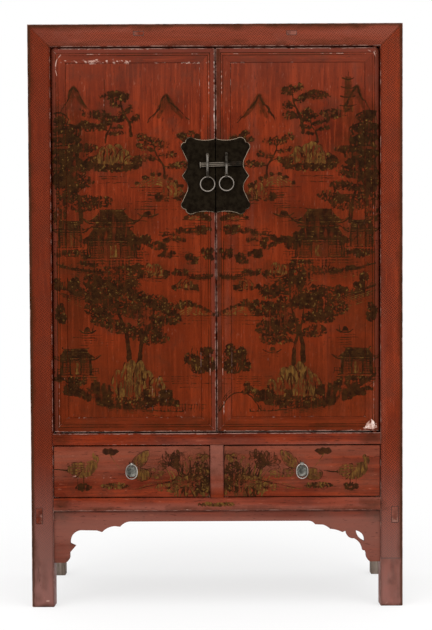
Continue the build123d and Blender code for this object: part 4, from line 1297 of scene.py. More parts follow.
def paint_pavilion(c, x, z, width, height, storeys):
    """A garden pavilion on a railed terrace: posts, lattice and one or two tiled roofs."""
    body = height * (0.5 if storeys == 1 else 0.32)
    half = width * 0.34
    c.wash(GLAZE, block(x, z, half, half, body), 0.75)
    for share in (-1, -0.92, -0.34, 0.36, 0.9, 1):
        c.plumb(INK, x + share * half, z, z + body, 4)
    for x0, x1 in ((-0.9, -0.42), (0.44, 0.88)):
        paint_lattice(c, x + half * x0, x + half * x1, z + body * 0.1, z + body * 0.95)
    c.plumb(GOLD, x - half * 0.06, z + 4, z + body * 0.9, half * 0.3, half * 0.26, 0.75)
    c.stroke(INK, [(x, z + 6), (x + 2, z + body * 0.85)], 2.4, 2, 0.8)
    c.level(GOLD, x - half * 1.2, x + half * 1.2, z + body * 0.97, 2.4)
    rise = height * 0.2
    paint_roof(c, x, z + body, width * 0.5, rise, width * 0.26)
    if storeys > 1:
        upper = z + body + rise
        reach = half * 0.62
        c.wash(GLAZE, block(x, upper, reach, reach, 24), 0.75)
        paint_lattice(c, x - reach, x + reach, upper + 2, upper + 22, 10)
        c.level(INK, x - half * 0.9, x + half * 0.9, upper + 4, 2.4)
        paint_roof(c, x, upper + 24, width * 0.38, rise * 0.9, width * 0.17)
        c.plumb(INK, x, upper + 24 + rise, upper + 40 + rise, 4, 2)
    for row, line in enumerate((1.2, 1.4, 1.5, 1.62)):
        down = z - 3 - 8 * row
        shift = c.some(-0.1, 0.1) * half
        c.level(INK, x - half * line + shift, x + half * line + shift, down, 4.2, 4.2, 0.85 - 0.12 * row)
        c.level(GOLD, x - half * line * 0.9, x + half * line * c.some(0.2, 0.8), down + 3.6, 2, 2, 0.7)
    paint_lattice(c, x - half * 0.7, x + half * 0.5, z - 30, z - 8, 10)
    for way in (-1, 1):
        x0, x1 = sorted((x + way * half * 1.02, x + way * half * 1.5))
        paint_fence(c, x0, x1, z, 15)
    for _ in range(5):
        paint_leaves(c, x + c.some(-1.3, 1.3) * half, z - c.some(14, 36), 16, 7, 0.25, 2)


def paint_pagoda(c, x, z, width, height, tiers):
    """A slim tower, far off: a roof and a latticed wall to each tier."""
    step = height / tiers
    for tier in range(tiers):
        up = z + step * tier
        half = width * (0.5 - 0.22 * tier / tiers)
        c.wash(GLAZE, block(x, up, half * 0.7, half * 0.6, step), 0.9)
        for across in np.linspace(-0.6, 0.6, 5):
            c.plumb(GOLD, x + half * across, up + 2, up + step * 0.6, 2.2, 2.2, 0.8)
        eave = ((-half - 3, 0.8), (-half * 0.5, 0.66), (half * 0.5, 0.66), (half + 3, 0.8))
        eave = curve([(x + across, up + step * share) for across, share in eave])
        c.stroke(INK, eave, 4.4, 3.4)
        c.stroke(GOLD, eave - (0, 3.6), 1.8, 1.8, 0.6)
    c.plumb(INK, x, z + height, z + height * 1.16, 2.6, 1.4)


def paint_bridge(c, x, z, width, rise):
    """An arched footbridge with a railing."""
    for up, thick in ((0, 4.2), (10, 2.2), (17, 2.0)):
        arch = curve(spots(x, z + up, width, rise, (-0.5, 0), (-0.2, 1), (0.2, 1), (0.5, 0)))
        c.stroke(INK, arch, thick, thick, 0.95)
        for place in arch[::3] if up else ():
            c.stroke(INK, [place - (0, up), place], 2)


def paint_boat(c, x, z, width):
    """A flat boat with a cabin and a pole, on ripples."""
    c.stroke(INK, curve(spots(x, z, width, 1, (-0.5, 7), (-0.25, 0), (0.25, 0), (0.5, 8))), 5, 3.4)
    c.level(GOLD, x - width * 0.3, x + width * 0.3, z + 4, 2.4)
    c.wash(INK, curve(spots(x, z, width, 1, (-0.22, 3), (-0.1, 15), (0.12, 15), (0.24, 3))), 0.85)
    c.plumb(INK, x - width * 0.34, z + 4, z + 22, 2.4)
    paint_water(c, x, z - 6, width * 1.5, 2)


def paint_cliff(c, x, z, width, height):
    """A crag that leans in from the outer edge: gold ledges between dark overhangs, hung with scrub."""
    c.glaze(x - width * 0.35, z + height * 0.5, width * 0.9, height * 0.62, 0.9)
    ledges = 7
    thick = height / ledges
    for ledge in range(ledges):
        up = z + height * ledge / ledges + c.some(-5, 5)
        reach = width * (0.5 + 0.5 * math.sin(math.pi * (ledge + 0.6) / ledges)) * c.some(0.7, 1.15)
        for blade in range(8):
            across = x - reach * (blade + c.some(0, 0.8)) / 8
            middle = across - c.some(0, 6), up + thick * 0.4
            tip = across - c.some(-3, 8), up + thick * c.some(0.6, 1.1)
            line = curve([(across, up), middle, tip])
            c.stroke(GOLD if c.some(0, 1) < 0.5 else INK, line, c.some(4, 8), 3, c.some(0.6, 0.95))
            c.stroke(INK, line + (3, 0), 2.6, 1.6, 0.85)
        c.stroke(INK, curve(spots(x, up, -reach, thick, (0, 1), (0.5, 1.1), (1, 0.6), (0.9, 0.2))), 6, 3, 0.95)
        for near, far, low, high, rise in ((0.4, 0.9, 0.3, 1.1, 12), (0.1, 0.5, 0.1, 0.8, 10)):
            place = x - reach * c.some(near, far), up + thick * c.some(low, high)
            paint_leaves(c, *place, reach * 0.4, rise, 0.12, 2.2)


def wear_picture(c, side):
    """Where the door's lacquer is rubbed or chipped through."""
    width, height = c.width, c.height
    rail = height - DOOR_FRAME_CELLS
    other = side == "right"
    if not other:
        c.flecks(250, 466, rail + 3, 5, 190, 0.76)
        c.flecks(300, 400, rail + 8, 3, 34, 0.85)
        c.stroke(BARE, curve([(474, 1072), (478, 1094), (474, 1118), (462, 1134)]), 2.4, 3.0, 0.8)
    for x0, x1, count in ((24, 236, 40), (56, 90, 24), (150, 216, 22)):
        c.flecks(x0, x1, rail, 0.8, count, 0.75 - 0.2 * other)
    c.flecks(width * 0.4, width - 14, height - 2, 1.5, 60 - 30 * other, 0.9)
    c.flecks(40, width - 30, DOOR_FRAME_CELLS, 0.8, 46, 0.6)
    c.flecks(6, width - 8, 1.5, 1.0, 60, 0.7)
    for start, end, strength in ((884, 1142, 1.0), (40, 330, 0.5), (520, 640, 0.35)):
        at = np.arange(start, end, 6.0)
        c.stroke(BARE, np.stack([1.5 + 0.8 * wavy(at, 20, 75), at], 1), 3.4, 3, strength - 0.6 * other)
    c.plumb(BARE, 45, height - 45, height - 118, 2.2, 1.4, 0.6)
    for x, z in ((width - 6, 6), (6, 6), (width - 6, height - 6)):
        way = -1 if x > width / 2 else 1
        rise = 1 if z < height / 2 else -1
        c.stroke(BARE, [(x, z), (x + way * 36, z + rise * 36)], 2.0, 1.2, 0.6)
    if other:
        chip = ((46, 8), (40, 22), (26, 37), (16, 28), (14, 16), (5, 11), (20, 5))
        c.wash(BARE, [(width - across, up) for across, up in chip], 0.95)
        c.flecks(width - 50, width - 6, 14, 10, 16, 1.0)
        worn = [(width - across, height - down) for across, down in ((34, 8), (16, 16), (8, 34))]
        c.stroke(BARE, worn, 2.6, 2.0, 0.8)
        c.flecks(width - 44, width - 8, height - 14, 6, 16, 0.8)
        c.stroke(BARE, [(20, 48), (21, 92)], 2.6, 2.0, 0.8)
        c.plumb(BARE, 48, 60, 190, 2.0, 1.2, 0.6)
    else:
        c.stroke(INK, [(331, 1060), (330, 900), (331, 828)], 2.4, 1.6, 0.75)
        c.stroke(BARE, [(334, 1060), (333, 900), (334, 828)], 2.4, 1.4, 0.5)
        for x in (150, 172, 192):
            c.stroke(BARE, [(x, 48), (x + 1, c.some(90, 170))], 2, 1.2, 0.6)
    for low, high, longest, count in ((45, 330, 120, 24), (850, 1090, 60, 12), (330, 850, 90, 12)):
        for _ in range(count):
            x, z = c.some(20, width - 30), c.some(low, high)
            c.stroke(BARE, [(x, z), (x + c.some(-1, 1), z + c.some(14, longest))], 1.6, 1.1, c.some(0.25, 0.5))
    x, z = c.sheet()
    c.layers[BARE] *= np.clip(0.85 + 0.9 * cloudy(x, z, 7, 88, 2) + 0.3 * cloudy(x, z, 40, 89), 0, 1.15)
    for _ in range(60):
        place = c.some(10, width - 10), c.some(10, height - 10)
        c.dab(BARE, *place, c.some(0.8, 2.2), c.some(0.7, 1.4), c.some(0, 3), 0.6)


def mould_picture(c, side):
    """Dark lines along the moulding of the door frame, a band of painted shade at the hinge edge and a dark band at
    the split.
    """
    x, z = c.sheet()
    edge = np.minimum(np.minimum(x, c.width - x), np.minimum(z, c.height - z))
    patchy = np.clip(0.75 + 0.6 * cloudy(x, z, 50, 81), 0.2, 1)
    for place, wide, strength in ((14.5, 1.3, 0.8), (21.5, 1.2, 0.7), (DOOR_FRAME_CELLS, 1.0, 0.45)):
        line = np.clip(1.4 - np.abs(edge - place) / wide, 0, 1) * strength * patchy
        c.lay(INK, ALL_CELLS, line)
    inner = np.minimum(np.minimum(x, c.width - x), c.height - z)
    worn = np.clip(0.2 + 1.1 * cloudy(x * 0.3, z * 0.12, 14, 83), 0, 0.75)
    for place, wide in ((17.5, 1.0), (45.5, 1.0)):
        c.lay(BARE, ALL_CELLS, np.clip(1.3 - np.abs(inner - place) / wide, 0, 1) * worn)
    # Painted shade on the half-round hinge edge, and a dark band at the split edge, strong on the right door.
    split_band = 0.9 if side == "right" else 0.1
    band = np.clip((x - (c.width - 13)) / 3, 0, 1) * 0.5 + np.clip((14 - x) / 3, 0, 1) * split_band
    c.lay(GLAZE, ALL_CELLS, band * patchy)


def paint_all(c, rows):
    """Paints what each row names, in order."""
    for paint_one, *places in rows:
        paint_one(c, *places)


def paint_door(c, side):
    """A river landscape, full towards the outer edge and open water towards the split."""
    other = side == "right"
    for cloud in (
        (430, 880, 84, 130, 0.5), (330, 620, 160, 90, 0.45), (410, 500, 120, 66, 0.55), (440, 380, 84, 84, 0.5),
        (420, 200, 110, 96, 0.5), (250, 150, 170, 110, 0.5), (140, 740, 100, 74, 0.25), (300, 830, 90, 70, 0.3),
        (60, 350, 90, 40, 0.25), (60, 200, 74, 60, 0.3), (240, 380, 120, 60, 0.3), (300, 80, 180, 50, 0.5),
    ):
        c.glaze(*cloud)
    for x in range(40, 470, 70):
        c.glaze(x, 18, 60, 26, c.some(0.15, 0.5))
    paint_all(c, (
        (paint_peak, 424, 962, 92, 74), (paint_peak, 146 - 16 * other, 934, 118, 78),
        (paint_bank, [(262, 1000), (300, 1020), (345, 1004)], 16, 0.6),
        (paint_bank, [(316, 926), (360, 950), (404, 966)], 16, 0.5), (paint_leaves, 300, 1012, 40, 14, 0.2, 1.6),
        (paint_leaves, 356, 956, 44, 14, 0.3, 1.6),
    ))
    if other:
        paint_pagoda(c, 398, 960, 46, 108, 4)
        paint_tree(c, 262, 900, 128, -34, 40, 0.3)
    else:
        paint_tree(c, 252, 892, 118, 34, 34, 0.2)
        paint_bush(c, 372, 905, 40, 36)
    paint_all(c, (
        (paint_cliff, 482, 735, 98, 222), (paint_tree, 404, 632, 170, 28, 70, 0.12),
        (paint_tree, 452, 690, 120, -20, 44, 0.1), (paint_rock, 306 - 24 * other, 798, 136, 92, 6),
        (paint_leaves, 306 - 24 * other, 796, 74, 12, 0.2, 1.6),
        (paint_tree, 330 - 24 * other, 872, 72, -24, 40, 0.15), (paint_island, 176, 738, 140, 36),
        (paint_tree, 150, 764, 112, 36, 62, 0.3), (paint_rock, 128, 700, 84, 54, 5),
        (paint_bush, 84, 872, 40, 36, 0.3), (paint_water, 196, 712, 150, 6), (paint_water, 320, 770, 120, 3),
        (paint_boat, 204, 650, 60), (paint_island, 56, 640, 76, 16), (paint_bush, 52, 652, 20, 22),
        (paint_pavilion, 312, 528, 216, 166, 2), (paint_pavilion, 438, 560, 104, 106, 1),
        (paint_bush, 226, 550, 34, 62, 0.1), (paint_leaves, 402, 690, 60, 26, 0.1, 1.4),
        (paint_leaves, 468, 660, 22, 40, 0.15, 1.6), (paint_fence, 170, 252, 488, 15),
        (paint_rock, 186, 470, 76, 50, 4), (paint_leaves, 300, 486, 80, 12, 0.3, 1.6),
        (paint_bank, [(478, 506), (400, 490), (330, 482), (250, 470), (150, 462)], 34, 0.3),
        (paint_water, 96, 560, 130, 5), (paint_bush, 74, 506, 24, 34), (paint_bush, 26, 520, 24, 44),
        (paint_water, 60, 490, 110, 4), (paint_rock, 92, 430, 66, 40, 4),
    ))
    for x, z in ((146, 524), (178, 548), (208, 566)):
        paint_bush(c, x - 26 * other, z, 26, 30, 0.15)
    paint_all(c, (
        (paint_bank, [(30, 596), (70, 604), (116, 598), (160, 590)], 14, 0.4), (paint_bush, 40, 600, 30, 26, 0.25),
        (paint_bush, 96, 598, 24, 20, 0.25), (paint_rock, 124, 574, 54, 26, 4), (paint_water, 120, 610, 160, 4),
        (paint_bush, 110, 470, 30, 26, 0.2), (paint_bank, [(10, 470), (60, 466), (110, 474)], 16, 0.4),
        (paint_island, 74, 352, 132, 28), (paint_bush, 100, 372, 28, 34, 0.4),
        (paint_bank, [(480, 440), (430, 424), (380, 408), (322, 368)], 48, 0.6), (paint_bush, 448, 428, 38, 54),
        (paint_bush, 384, 414, 34, 40), (paint_bush, 468, 330, 22, 56, 0.1), (paint_boat, 388, 300, 50),
        (paint_water, 366, 286, 110, 4), (paint_tree, 262, 214, 230, 44 - 88 * other, 104, 0.16, 1.5),
        (paint_tree, 232, 206, 188, -50 + 84 * other, 84, 0.24, 1.4), (paint_leaves, 300, 412, 74, 32, 0.15),
        (paint_leaves, 190, 336, 52, 22, 0.2), (paint_leaves, 340, 372, 60, 26, 0.12),
        (paint_pavilion, 424, 176, 136, 104, 1), (paint_rock, 252, 84, 176, 158, 7),
        (paint_rock, 178, 100, 76, 76, 4), (paint_leaves, 250, 88, 108, 18, 0.2, 1.5),
        (paint_bush, 352, 90, 54, 70, 0.1), (paint_bush, 150, 90, 40, 40, 0.1), (paint_bush, 424, 108, 44, 40, 0.1),
        (paint_bush, 52, 176, 54, 92, 0.22), (paint_water, 92, 168, 150, 5),
        (paint_bank, [(482, 172), (420, 134), (352, 98), (280, 76), (190, 64), (100, 60)], 30, 0.15),
    ))
    if other:
        paint_bridge(c, 70, 62, 128, 50)
        paint_bush(c, 96, 116, 22, 34, 0.5)
        paint_boat(c, 168, 240, 54)
    else:
        paint_fence(c, 30, 168, 60, 22)
        paint_bush(c, 140, 78, 30, 30)
    c.smear(2.4, 0.6, 1.0)
    c.layers[[GOLD, INK], : DOOR_FRAME_CELLS + 2] *= 0.25
    mould_picture(c, side)
    wear_picture(c, side)


def paint_bird(c, x, z, size, way):
    """A bird at rest: gold body, dark wing and tail, on thin legs."""

    def at(across, up):
        return x + way * size * across, z + size * up

    breast = ((0.1, 0.26), (0.42, 0.3), (0.5, 0.05), (0.2, -0.24), (-0.2, -0.22))
    body = curve([(-0.5, -0.02), (-0.3, 0.2), *breast, (-0.5, -0.02)]) * (way * size, size) + (x, z)
    c.wash(GOLD, body, 0.95)
    c.stroke(GOLD, curve([at(0.34, 0.1), at(0.46, 0.34), at(0.4, 0.46)]), size * 0.22, size * 0.15)
    for feather in range(6):
        root = at(0.2 - 0.05 * feather, 0.2 - 0.06 * feather)
        sag = at(-0.2, 0.24 - 0.1 * feather)
        tip = at(0.04 * feather - 0.56, 0.16 - 0.07 * feather)
        c.stroke(INK, curve([root, sag, tip]), 2.8, 1.4, 0.85)
    c.stroke(INK, body, 1.8, 1.8, 0.6)
    c.stroke(INK, [at(-0.45, -0.02), at(-0.9, 0.02)], 5, 3)
    c.stroke(INK, [at(0.46, 0.46), at(0.66, 0.42)], 3, 1.4)
    c.dab(INK, *at(0.42, 0.48), 2.2, 2.0)
    for leg in (-0.06, 0.12):
        c.plumb(INK, x + size * leg, z - size * 0.2, z - size * 0.5, 2.4)


def paint_lotus(c, x, z, size, gold):
    """A lotus leaf seen from the side, with ribs, on a bent stalk."""
    rim = [(-1, 0.1), (-0.7, 0.34), (-0.4, 0.3), (-0.1, 0.46), (0.3, 0.34), (0.6, 0.4), (1, 0)]
    low = [(1, 0), (0.5, -0.26), (0.1, -0.22), (-0.4, -0.34), (-1, 0.1)]
    rim, low = (curve(np.array(line) * size + (x, z)) for line in (rim, low))
    c.wash(GOLD if gold else INK, np.concatenate([rim, low]), 0.85)
    for place in np.concatenate([rim, low])[::4]:
        c.stroke(INK, [(x, z), place], 2.2, 1.5, 0.75)
    c.stroke(INK, rim, 2.6, 2.6, 0.8)
    c.stroke(GOLD, low, 2.0, 2.0, 0.6)


def paint_petals(c, x, z, size):
    """An open flower of loose dark petals with gold veins."""
    for petal in range(9):
        turn = math.pi * (-0.05 + 1.1 * petal / 8)
        out, across = np.array([math.cos(turn), math.sin(turn)]), np.array([-math.sin(turn), math.cos(turn)])
        reach = size * c.some(0.75, 1.05)
        tip = (x, z) + reach * out + across * c.some(-5, 5)
        sides = [(x, z) + reach * share * out + size * wide * across
                 for share, wide in ((0.4, 0.17), (0.75, 0.19), (0.75, -0.19), (0.4, -0.17))]
        outline = curve([(x, z), *sides[:2], tip, *sides[2:], (x, z)])
        c.wash(INK, outline, 0.52)
        c.stroke(INK, outline, 2.2, 2.2, 0.85)
        c.stroke(GOLD, [(x, z), (x, z) + reach * 0.8 * out], 2.0, 1.4, 0.7)


def paint_moth(c, x, z, size, ways):
    """A moth: its fore and hind wing, each to one side."""
    fore = [(0, 0.1), (0.2, 0.5), (0.5, 0.78), (0.92, 0.88), (0.86, 0.5), (0.6, 0.16), (0, -0.04)]
    hind = [(0, 0), (0.5, 0.08), (0.98, -0.1), (0.9, -0.42), (0.5, -0.5), (0.1, -0.24)]
    for way, wing in zip(ways, (fore, hind)):
        outline = curve(np.array(wing) * (way * size, size) + (x, z))
        c.wash(GOLD, outline, 0.95)
        c.stroke(INK, outline, 2.6, 2.6, 0.85)
        for place in outline[6:-6:4]:
            c.stroke(INK, [(x, z), place], 1.8, 1.3, 0.6)
    c.stroke(INK, [(x, z - size * 0.35), (x, z + size * 0.4)], 4, 2.4)


def paint_drawer(c, side):
    """Water birds, a moth and lotus: full towards the middle of the cabinet."""
    other = side == "right"
    c.glaze(30, 60, 100, 110, 0.7)
    c.glaze(140, 80, 80, 60, 0.4)
    c.glaze(380, 60, 70, 60, 0.25)
    for _ in range(62):
        root = c.some(2, 116), c.some(0, 30)
        tip = root[0] + c.some(-30, 56), root[1] + c.some(30, 130)
        bend = (root[0] + tip[0]) / 2 - 10, (root[1] + tip[1]) / 2
        c.stroke(GOLD if c.some(0, 1) < 0.62 else INK, curve([root, bend, tip]), c.some(3, 7.5), 1.6, 0.95)
    paint_all(c, (
        (paint_lotus, 66, 44, 50, True), (paint_lotus, 128, 26, 40, True), (paint_leaves, 30, 60, 34, 50, 0.3, 1.3),
        (paint_petals, 122 + 8 * other, 96, 44), (paint_petals, 96, 118, 26), (paint_lotus, 176, 70, 42, True),
        (paint_lotus, 34, 118, 34, True),
    ))
    for drop in (0, 7, 14):
        stalk = curve([(104, 58 - drop), (168, 44 - drop), (232, 24), (274, 32 + drop)])
        c.stroke(GOLD if drop != 7 else INK, stalk, 3, 1.8, 0.85)
    paint_moth(c, 244 - 12 * other, 82, 66, (-1, 1) if other else (-1, -1))
    paint_lotus(c, 302, 136, 28, False)
    c.stroke(GOLD, curve([(302, 130), (286, 104), (268, 84)]), 2.6, 1.8, 0.85)
    paint_leaves(c, 286, 34, 44, 8, 0.6, 2)
    paint_bird(c, 388, 84 - 8 * other, 96, 1 if other else -1)
    paint_leaves(c, 384, 30, 24, 12, 0.1, 1.8)
    c.smear(1.6, 0.66, 1.0)
    for _ in range(14):
        x, z = c.some(10, c.width - 40), c.some(4, c.height - 4)
        c.stroke(BARE, [(x, z), (x + c.some(8, 40), z + c.some(-2, 2))], 1.4, 1, c.some(0.25, 0.5))
    if not other:
        c.flecks(300, 420, 62, 4, 22, 0.6)
    c.plumb(BARE, c.width - 3, 4, c.height - 4, 2, 1.6, 0.5)


def paint_case(c):
    """Stains and rubbed places of the case's front: x from the left side, z from the floor."""
    wide, high = c.width, c.height
    under_top_rail, sill_top, sill_low, low_rail_top, foot_top = 1700, 527, 495, 296, 130
    leg = 68
    for x in (4, wide - 4):
        c.glazes(34, x, (120, high), (7, 14), (40, 130), (0.35, 0.85))
    for _ in range(30):
        c.glaze(c.some(0, wide), high - c.some(0, 12), c.some(20, 90), c.some(7, 14), c.some(0.4, 0.9))
    for _ in range(26):
        x = c.some(60, wide - 60)
        z = under_top_rail + c.some(-6, 8)
        c.glaze(x, z, c.some(20, 80), c.some(5, 9), c.some(0.25, 0.6))
    for x, z in ((96, 512), (wide - 96, 512), (92, 312), (wide - 92, 312), (560, 412)):
        c.glaze(x, z, c.some(24, 44), 24, 0.6)
    c.glaze(564, 412, 50, 120, 0.35)
    c.glazes(18, (70, wide - 70), (low_rail_top - 3, low_rail_top + 4), (30, 110), (6, 10), (0.3, 0.7))
    for _ in range(40):
        x = c.some(72, wide - 110)
        start, end = (x, sill_top + c.some(-1, 1)), (x + c.some(10, 60), sill_top + c.some(-1, 1))
        c.stroke(BARE, [start, end], 2.4, 1.6, c.some(0.3, 0.75))
    for _ in range(26):
        x = c.some(72, wide - 110)
        start, end = (x, sill_low + c.some(-1, 1)), (x + c.some(10, 60), sill_low)
        c.stroke(BARE, [start, end], 2, 1.4, c.some(0.25, 0.6))
        start, end = (x, low_rail_top), (x + c.some(10, 60), low_rail_top + c.some(-1, 1))
        c.stroke(BARE, [start, end], 2, 1.4, c.some(0.25, 0.6))
    for _ in range(24):
        x = c.some(10, wide - 60)
        start, end = (x, high - c.some(1, 5)), (x + c.some(6, 34), high - c.some(1, 5))
        c.stroke(BARE, [start, end], 3, 2, c.some(0.3, 0.6))
    for x0 in (66, wide - 66):
        for _ in range(40):
            z = c.some(150, 1640)
            c.plumb(BARE, x0, z, z + c.some(10, 60), 2.2, 1.6, c.some(0.1, 0.32))
    for x0 in (0, wide - leg):
        for _ in range(26):
            x, z = x0 + c.some(6, 62), c.some(0, foot_top)
            c.stroke(BARE, [(x, z), (x + c.some(-2, 2), z + c.some(10, 50))], 2.4, 1.4, c.some(0.2, 0.45))
        c.flecks(x0 + 8, x0 + 60, 7, 5, 12, 0.8)
        c.glazes(8, (x0, x0 + leg), (0, 6), (10, 26), (5, 12), (0.4, 0.9))
    c.stroke(INK, curve([(20, 124), (23, 84), (30, 56), (38, 46)]), 2.4, 1.6, 0.55)
    c.dab(BARE, 48, 19, 6, 2.6, 0.0, 0.9)
    c.dab(BARE, 38, 29, 4, 2.0, 0.5, 0.7)
    for x0 in (0, wide - leg):
        c.glazes(16, (x0 + 4, x0 + 64), (6, 140), (4, 12), (10, 36), (0.2, 0.5))
    for x in (540, 582):
        c.glaze(x, 310, 40, 12, 0.4)
        paint_leaves(c, x, 312, 34, 6, 0.8, 1.6)
    for x0, way in ((2, 1), (wide - 2, -1)):
        c.stroke(INK, [(x0, high - 2), (x0 + way * 64, high - 66)], 1.6, 1.6, 0.6)
    x, z = c.sheet()
    c.layers[BARE] *= np.clip(0.85 + 0.8 * cloudy(x, z, 8, 88, 2), 0, 1.1)


# Metalwork
RING_SIDES = 14


def worn_solid(node):
    """A copy of a CAD piece to work on, with its split seams joined and its flat faces whole."""
    source = frame["nodes"][node]
    shape = bmesh.new()
    shape.from_mesh(source.data)
    shape.transform(source.matrix_world)
    bmesh.ops.remove_doubles(shape, verts=shape.verts, dist=0.02 * MM)
    bmesh.ops.dissolve_limit(shape, angle_limit=math.radians(2), verts=shape.verts, edges=shape.edges)
    return shape


def make_lock_plate(side, material):
    """Half of the lobed plate: a filed rim round a slightly raised field."""
    shape = worn_solid(f"{side}_lock_plate")
    rubbed = shape.verts.layers.float_color.new("finish")
    face_y = min(vertex.co.y for vertex in shape.verts)
    ahead = [face for face in shape.faces if face.normal.y < -0.9]
    front = [face for face in ahead if face.calc_center_median().y < face_y + 0.1 * MM]

    def rub(amount, rise):
        for vertex in {vertex for face in front for vertex in face.verts}:
            vertex.co.y -= rise
            split_side = abs(vertex.co.x) < 5 * MM
            vertex[rubbed] = (0.15 if split_side else amount, 1, 0, 1)

    # The rim's brightness is rubbed metal with a painted highlight: full at the outer edge, less on the first inset,
    # none on the field, dim beside the split.
    rub(1.0, 0.0)
    for width, amount, rise in ((1.1 * MM, 0.75, 0.35 * MM), (0.9 * MM, 0.0, -0.25 * MM)):
        bmesh.ops.inset_region(shape, faces=front, thickness=width, use_even_offset=True)
        rub(amount, rise)
    piece = from_bmesh(f"{side}_lock_plate_worn", shape, material)
    dress(piece, f"{side}_door", "lock_plate_metal", f"{side}_lock_plate")


def make_fitting(body, slot, node, bevel, rims, middles, material):
    """A small CAD fitting with filed edges, and how bright its rims and the middles of its faces are, rubbed and with
    a painted highlight.
    """
    shape = worn_solid(node)
    whole = [edge for edge in shape.edges if len(edge.link_faces) == 2]
    sharp = [edge for edge in whole if edge.calc_face_angle(0) > math.radians(35)]
    bmesh.ops.bevel(shape, geom=sharp, offset=bevel, segments=2, profile=0.5, affect="EDGES", clamp_overlap=True)
    rubbed = shape.verts.layers.float_color.new("finish")
    for vertex in shape.verts:
        vertex[rubbed] = (rims, 1, 0, 1)
    wide = [face for face in shape.faces if face.calc_area() > 12 * MM * MM]
    bmesh.ops.inset_individual(shape, faces=wide, thickness=min(bevel * 1.6, 1.4 * MM), use_even_offset=True)
    for vertex in {vertex for face in wide for vertex in face.verts}:
        vertex[rubbed] = (middles, 1, 0, 1)
    dress(from_bmesh(f"{node}_worn", shape, material), body, slot, node)


def from_bmesh(name, shape, material):
    bmesh.ops.recalc_face_normals(shape, faces=shape.faces)
    mesh = bpy.data.meshes.new(name)
    shape.to_mesh(mesh)
    shape.free()
    piece = bpy.data.objects.new(name, mesh)
    bpy.context.scene.collection.objects.link(piece)
    mesh.materials.append(material)
    mesh.shade_smooth()
    mesh.set_sharp_from_angle(angle=math.radians(30))
    return piece


PIN_TILT = math.radians(1.7)


def make_lock_pin(material):
    """The sliding bar: three flutes along its face and a flange at its left end."""
    low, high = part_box("lock_pin")
    middle = (low + high) / 2
    half = (high.x - low.x) / 2
    depth = (high.y - low.y) / 2
    tall = (high.z - low.z) / 2 - half * math.sin(PIN_TILT)

    def place(a, b, s):
        across = s * math.cos(PIN_TILT) - a * math.sin(PIN_TILT)
        return middle.x + across, middle.y + b, middle.z + a * math.cos(PIN_TILT) + s * math.sin(PIN_TILT)

    def section(half_height, deep):
        up = np.linspace(-1, 1, 33)
        ridge = np.abs(np.sin(1.5 * math.pi * (up + 1))) ** 0.6
        round_off = 1.8 * MM * np.clip(np.abs(up) - 0.82, 0, 1) / 0.18
        front = -depth + deep * (1 - ridge) + round_off
        a = np.concatenate([up * half_height, np.linspace(1, -1, 9) * half_height])
        b = np.concatenate([front, np.full(9, depth)])
        near = np.concatenate([(1 - ridge) * 4 * MM + MM, np.full(9, FAR_FROM_EDGE)])
        return a, b, near, (b < 0) * 1.0

    flange = 4 * MM
    start, end = constant(-half + flange * 0.6), constant(half - 0.4 * MM)
    loop = section(tall - 2 * MM, 1.3 * MM)
    bar = swept(loop, place, start, end, 5 * MM, 3, UNWORN, (0, 2 * MM))
    rings = len(bar[2]) // len(loop[2])
    # The flute ridges are rubbed bright with a painted highlight, dimming towards the right end.
    dimming = np.interp(np.linspace(0, 1, rings), (0, 0.6, 0.72, 1), (1, 0.9, 0.4, 0.25))
    bar[2][:, 0] = np.outer(dimming, fall_off(loop[2], 1.8 * MM)).ravel()
    start, end = constant(-half + 0.3 * MM), constant(-half + flange)
    head = swept(section(tall, 0.0), place, start, end, MM, 4, UNWORN, (MM, MM))
    # The flange carries a painted highlight all over.
    head[2][:, 0] = 1
    dress(join_boards("lock_pin_fluted", [bar, head], material), "lock_pin", "lock_metal", "lock_pin")


def make_ring(name, body, node, reach, wire, material, seed):
    """A ring of hand-drawn wire, a little uneven, whose ends meet inside its eye."""
    low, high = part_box(node)
    middle = (low + high) / 2
    wide, tall = (high.x - low.x) / 2 - reach, (high.z - low.z) / 2 - reach
    turn = np.linspace(0.008, 2 * math.pi - 0.008, 91)
    out = np.stack([np.sin(turn), 0 * turn, np.cos(turn)], 1)
    centre = out * (wide, 0, tall) if wide == tall else oval(turn, wide, tall)
    uneven = 1 + 0.07 * wavy(turn, 0.7, seed) - 0.03
    round_wire = np.linspace(0, 2 * math.pi, RING_SIDES + 1)[:-1]
    away = np.cos(round_wire)[None, :, None] * out[:, None, :]
    fore = np.sin(round_wire)[None, :, None] * np.array([0, -1, 0])
    points = np.array(middle) + centre[:, None, :] + wire * uneven[:, None, None] * (away + fore)
    points = points.reshape(-1, 3)
    finish = np.zeros(points.shape)
    # The front of the wire is brighter, rubbed and with a painted highlight.
    finish[:, 0] = np.clip(0.25 + 0.75 * np.tile(np.sin(round_wire), len(turn)), 0, 1)
    piece = mesh_piece(name, points, tube_faces(points, len(turn), RING_SIDES), material)
    paint(piece, "finish", finish)
    dress(piece, body, "ring_metal", node)


def oval(turn, wide, tall):
    """The centre line of an oval: two half circles with short straights between."""
    straight = tall - wide
    up = np.cos(turn)
    return np.stack([wide * np.sin(turn), 0 * turn, wide * up + straight * np.sign(up) * np.abs(up) ** 0.35], 1)


# Radius and rise in millimetres, and how bright each ring is, rubbed and with a painted highlight
ROSETTE = ((15.2, -0.3, 0.9), (15.0, 0.4, 1), (14.2, 0.8, 1), (13.4, 0.4, 0.3), (12.6, 0.35, 0.1),
           (11.6, 0.8, 0.9), (9, 1.1, 0.5), (5, 1.35, 0.3), (1.2, 1.5, 0.2))


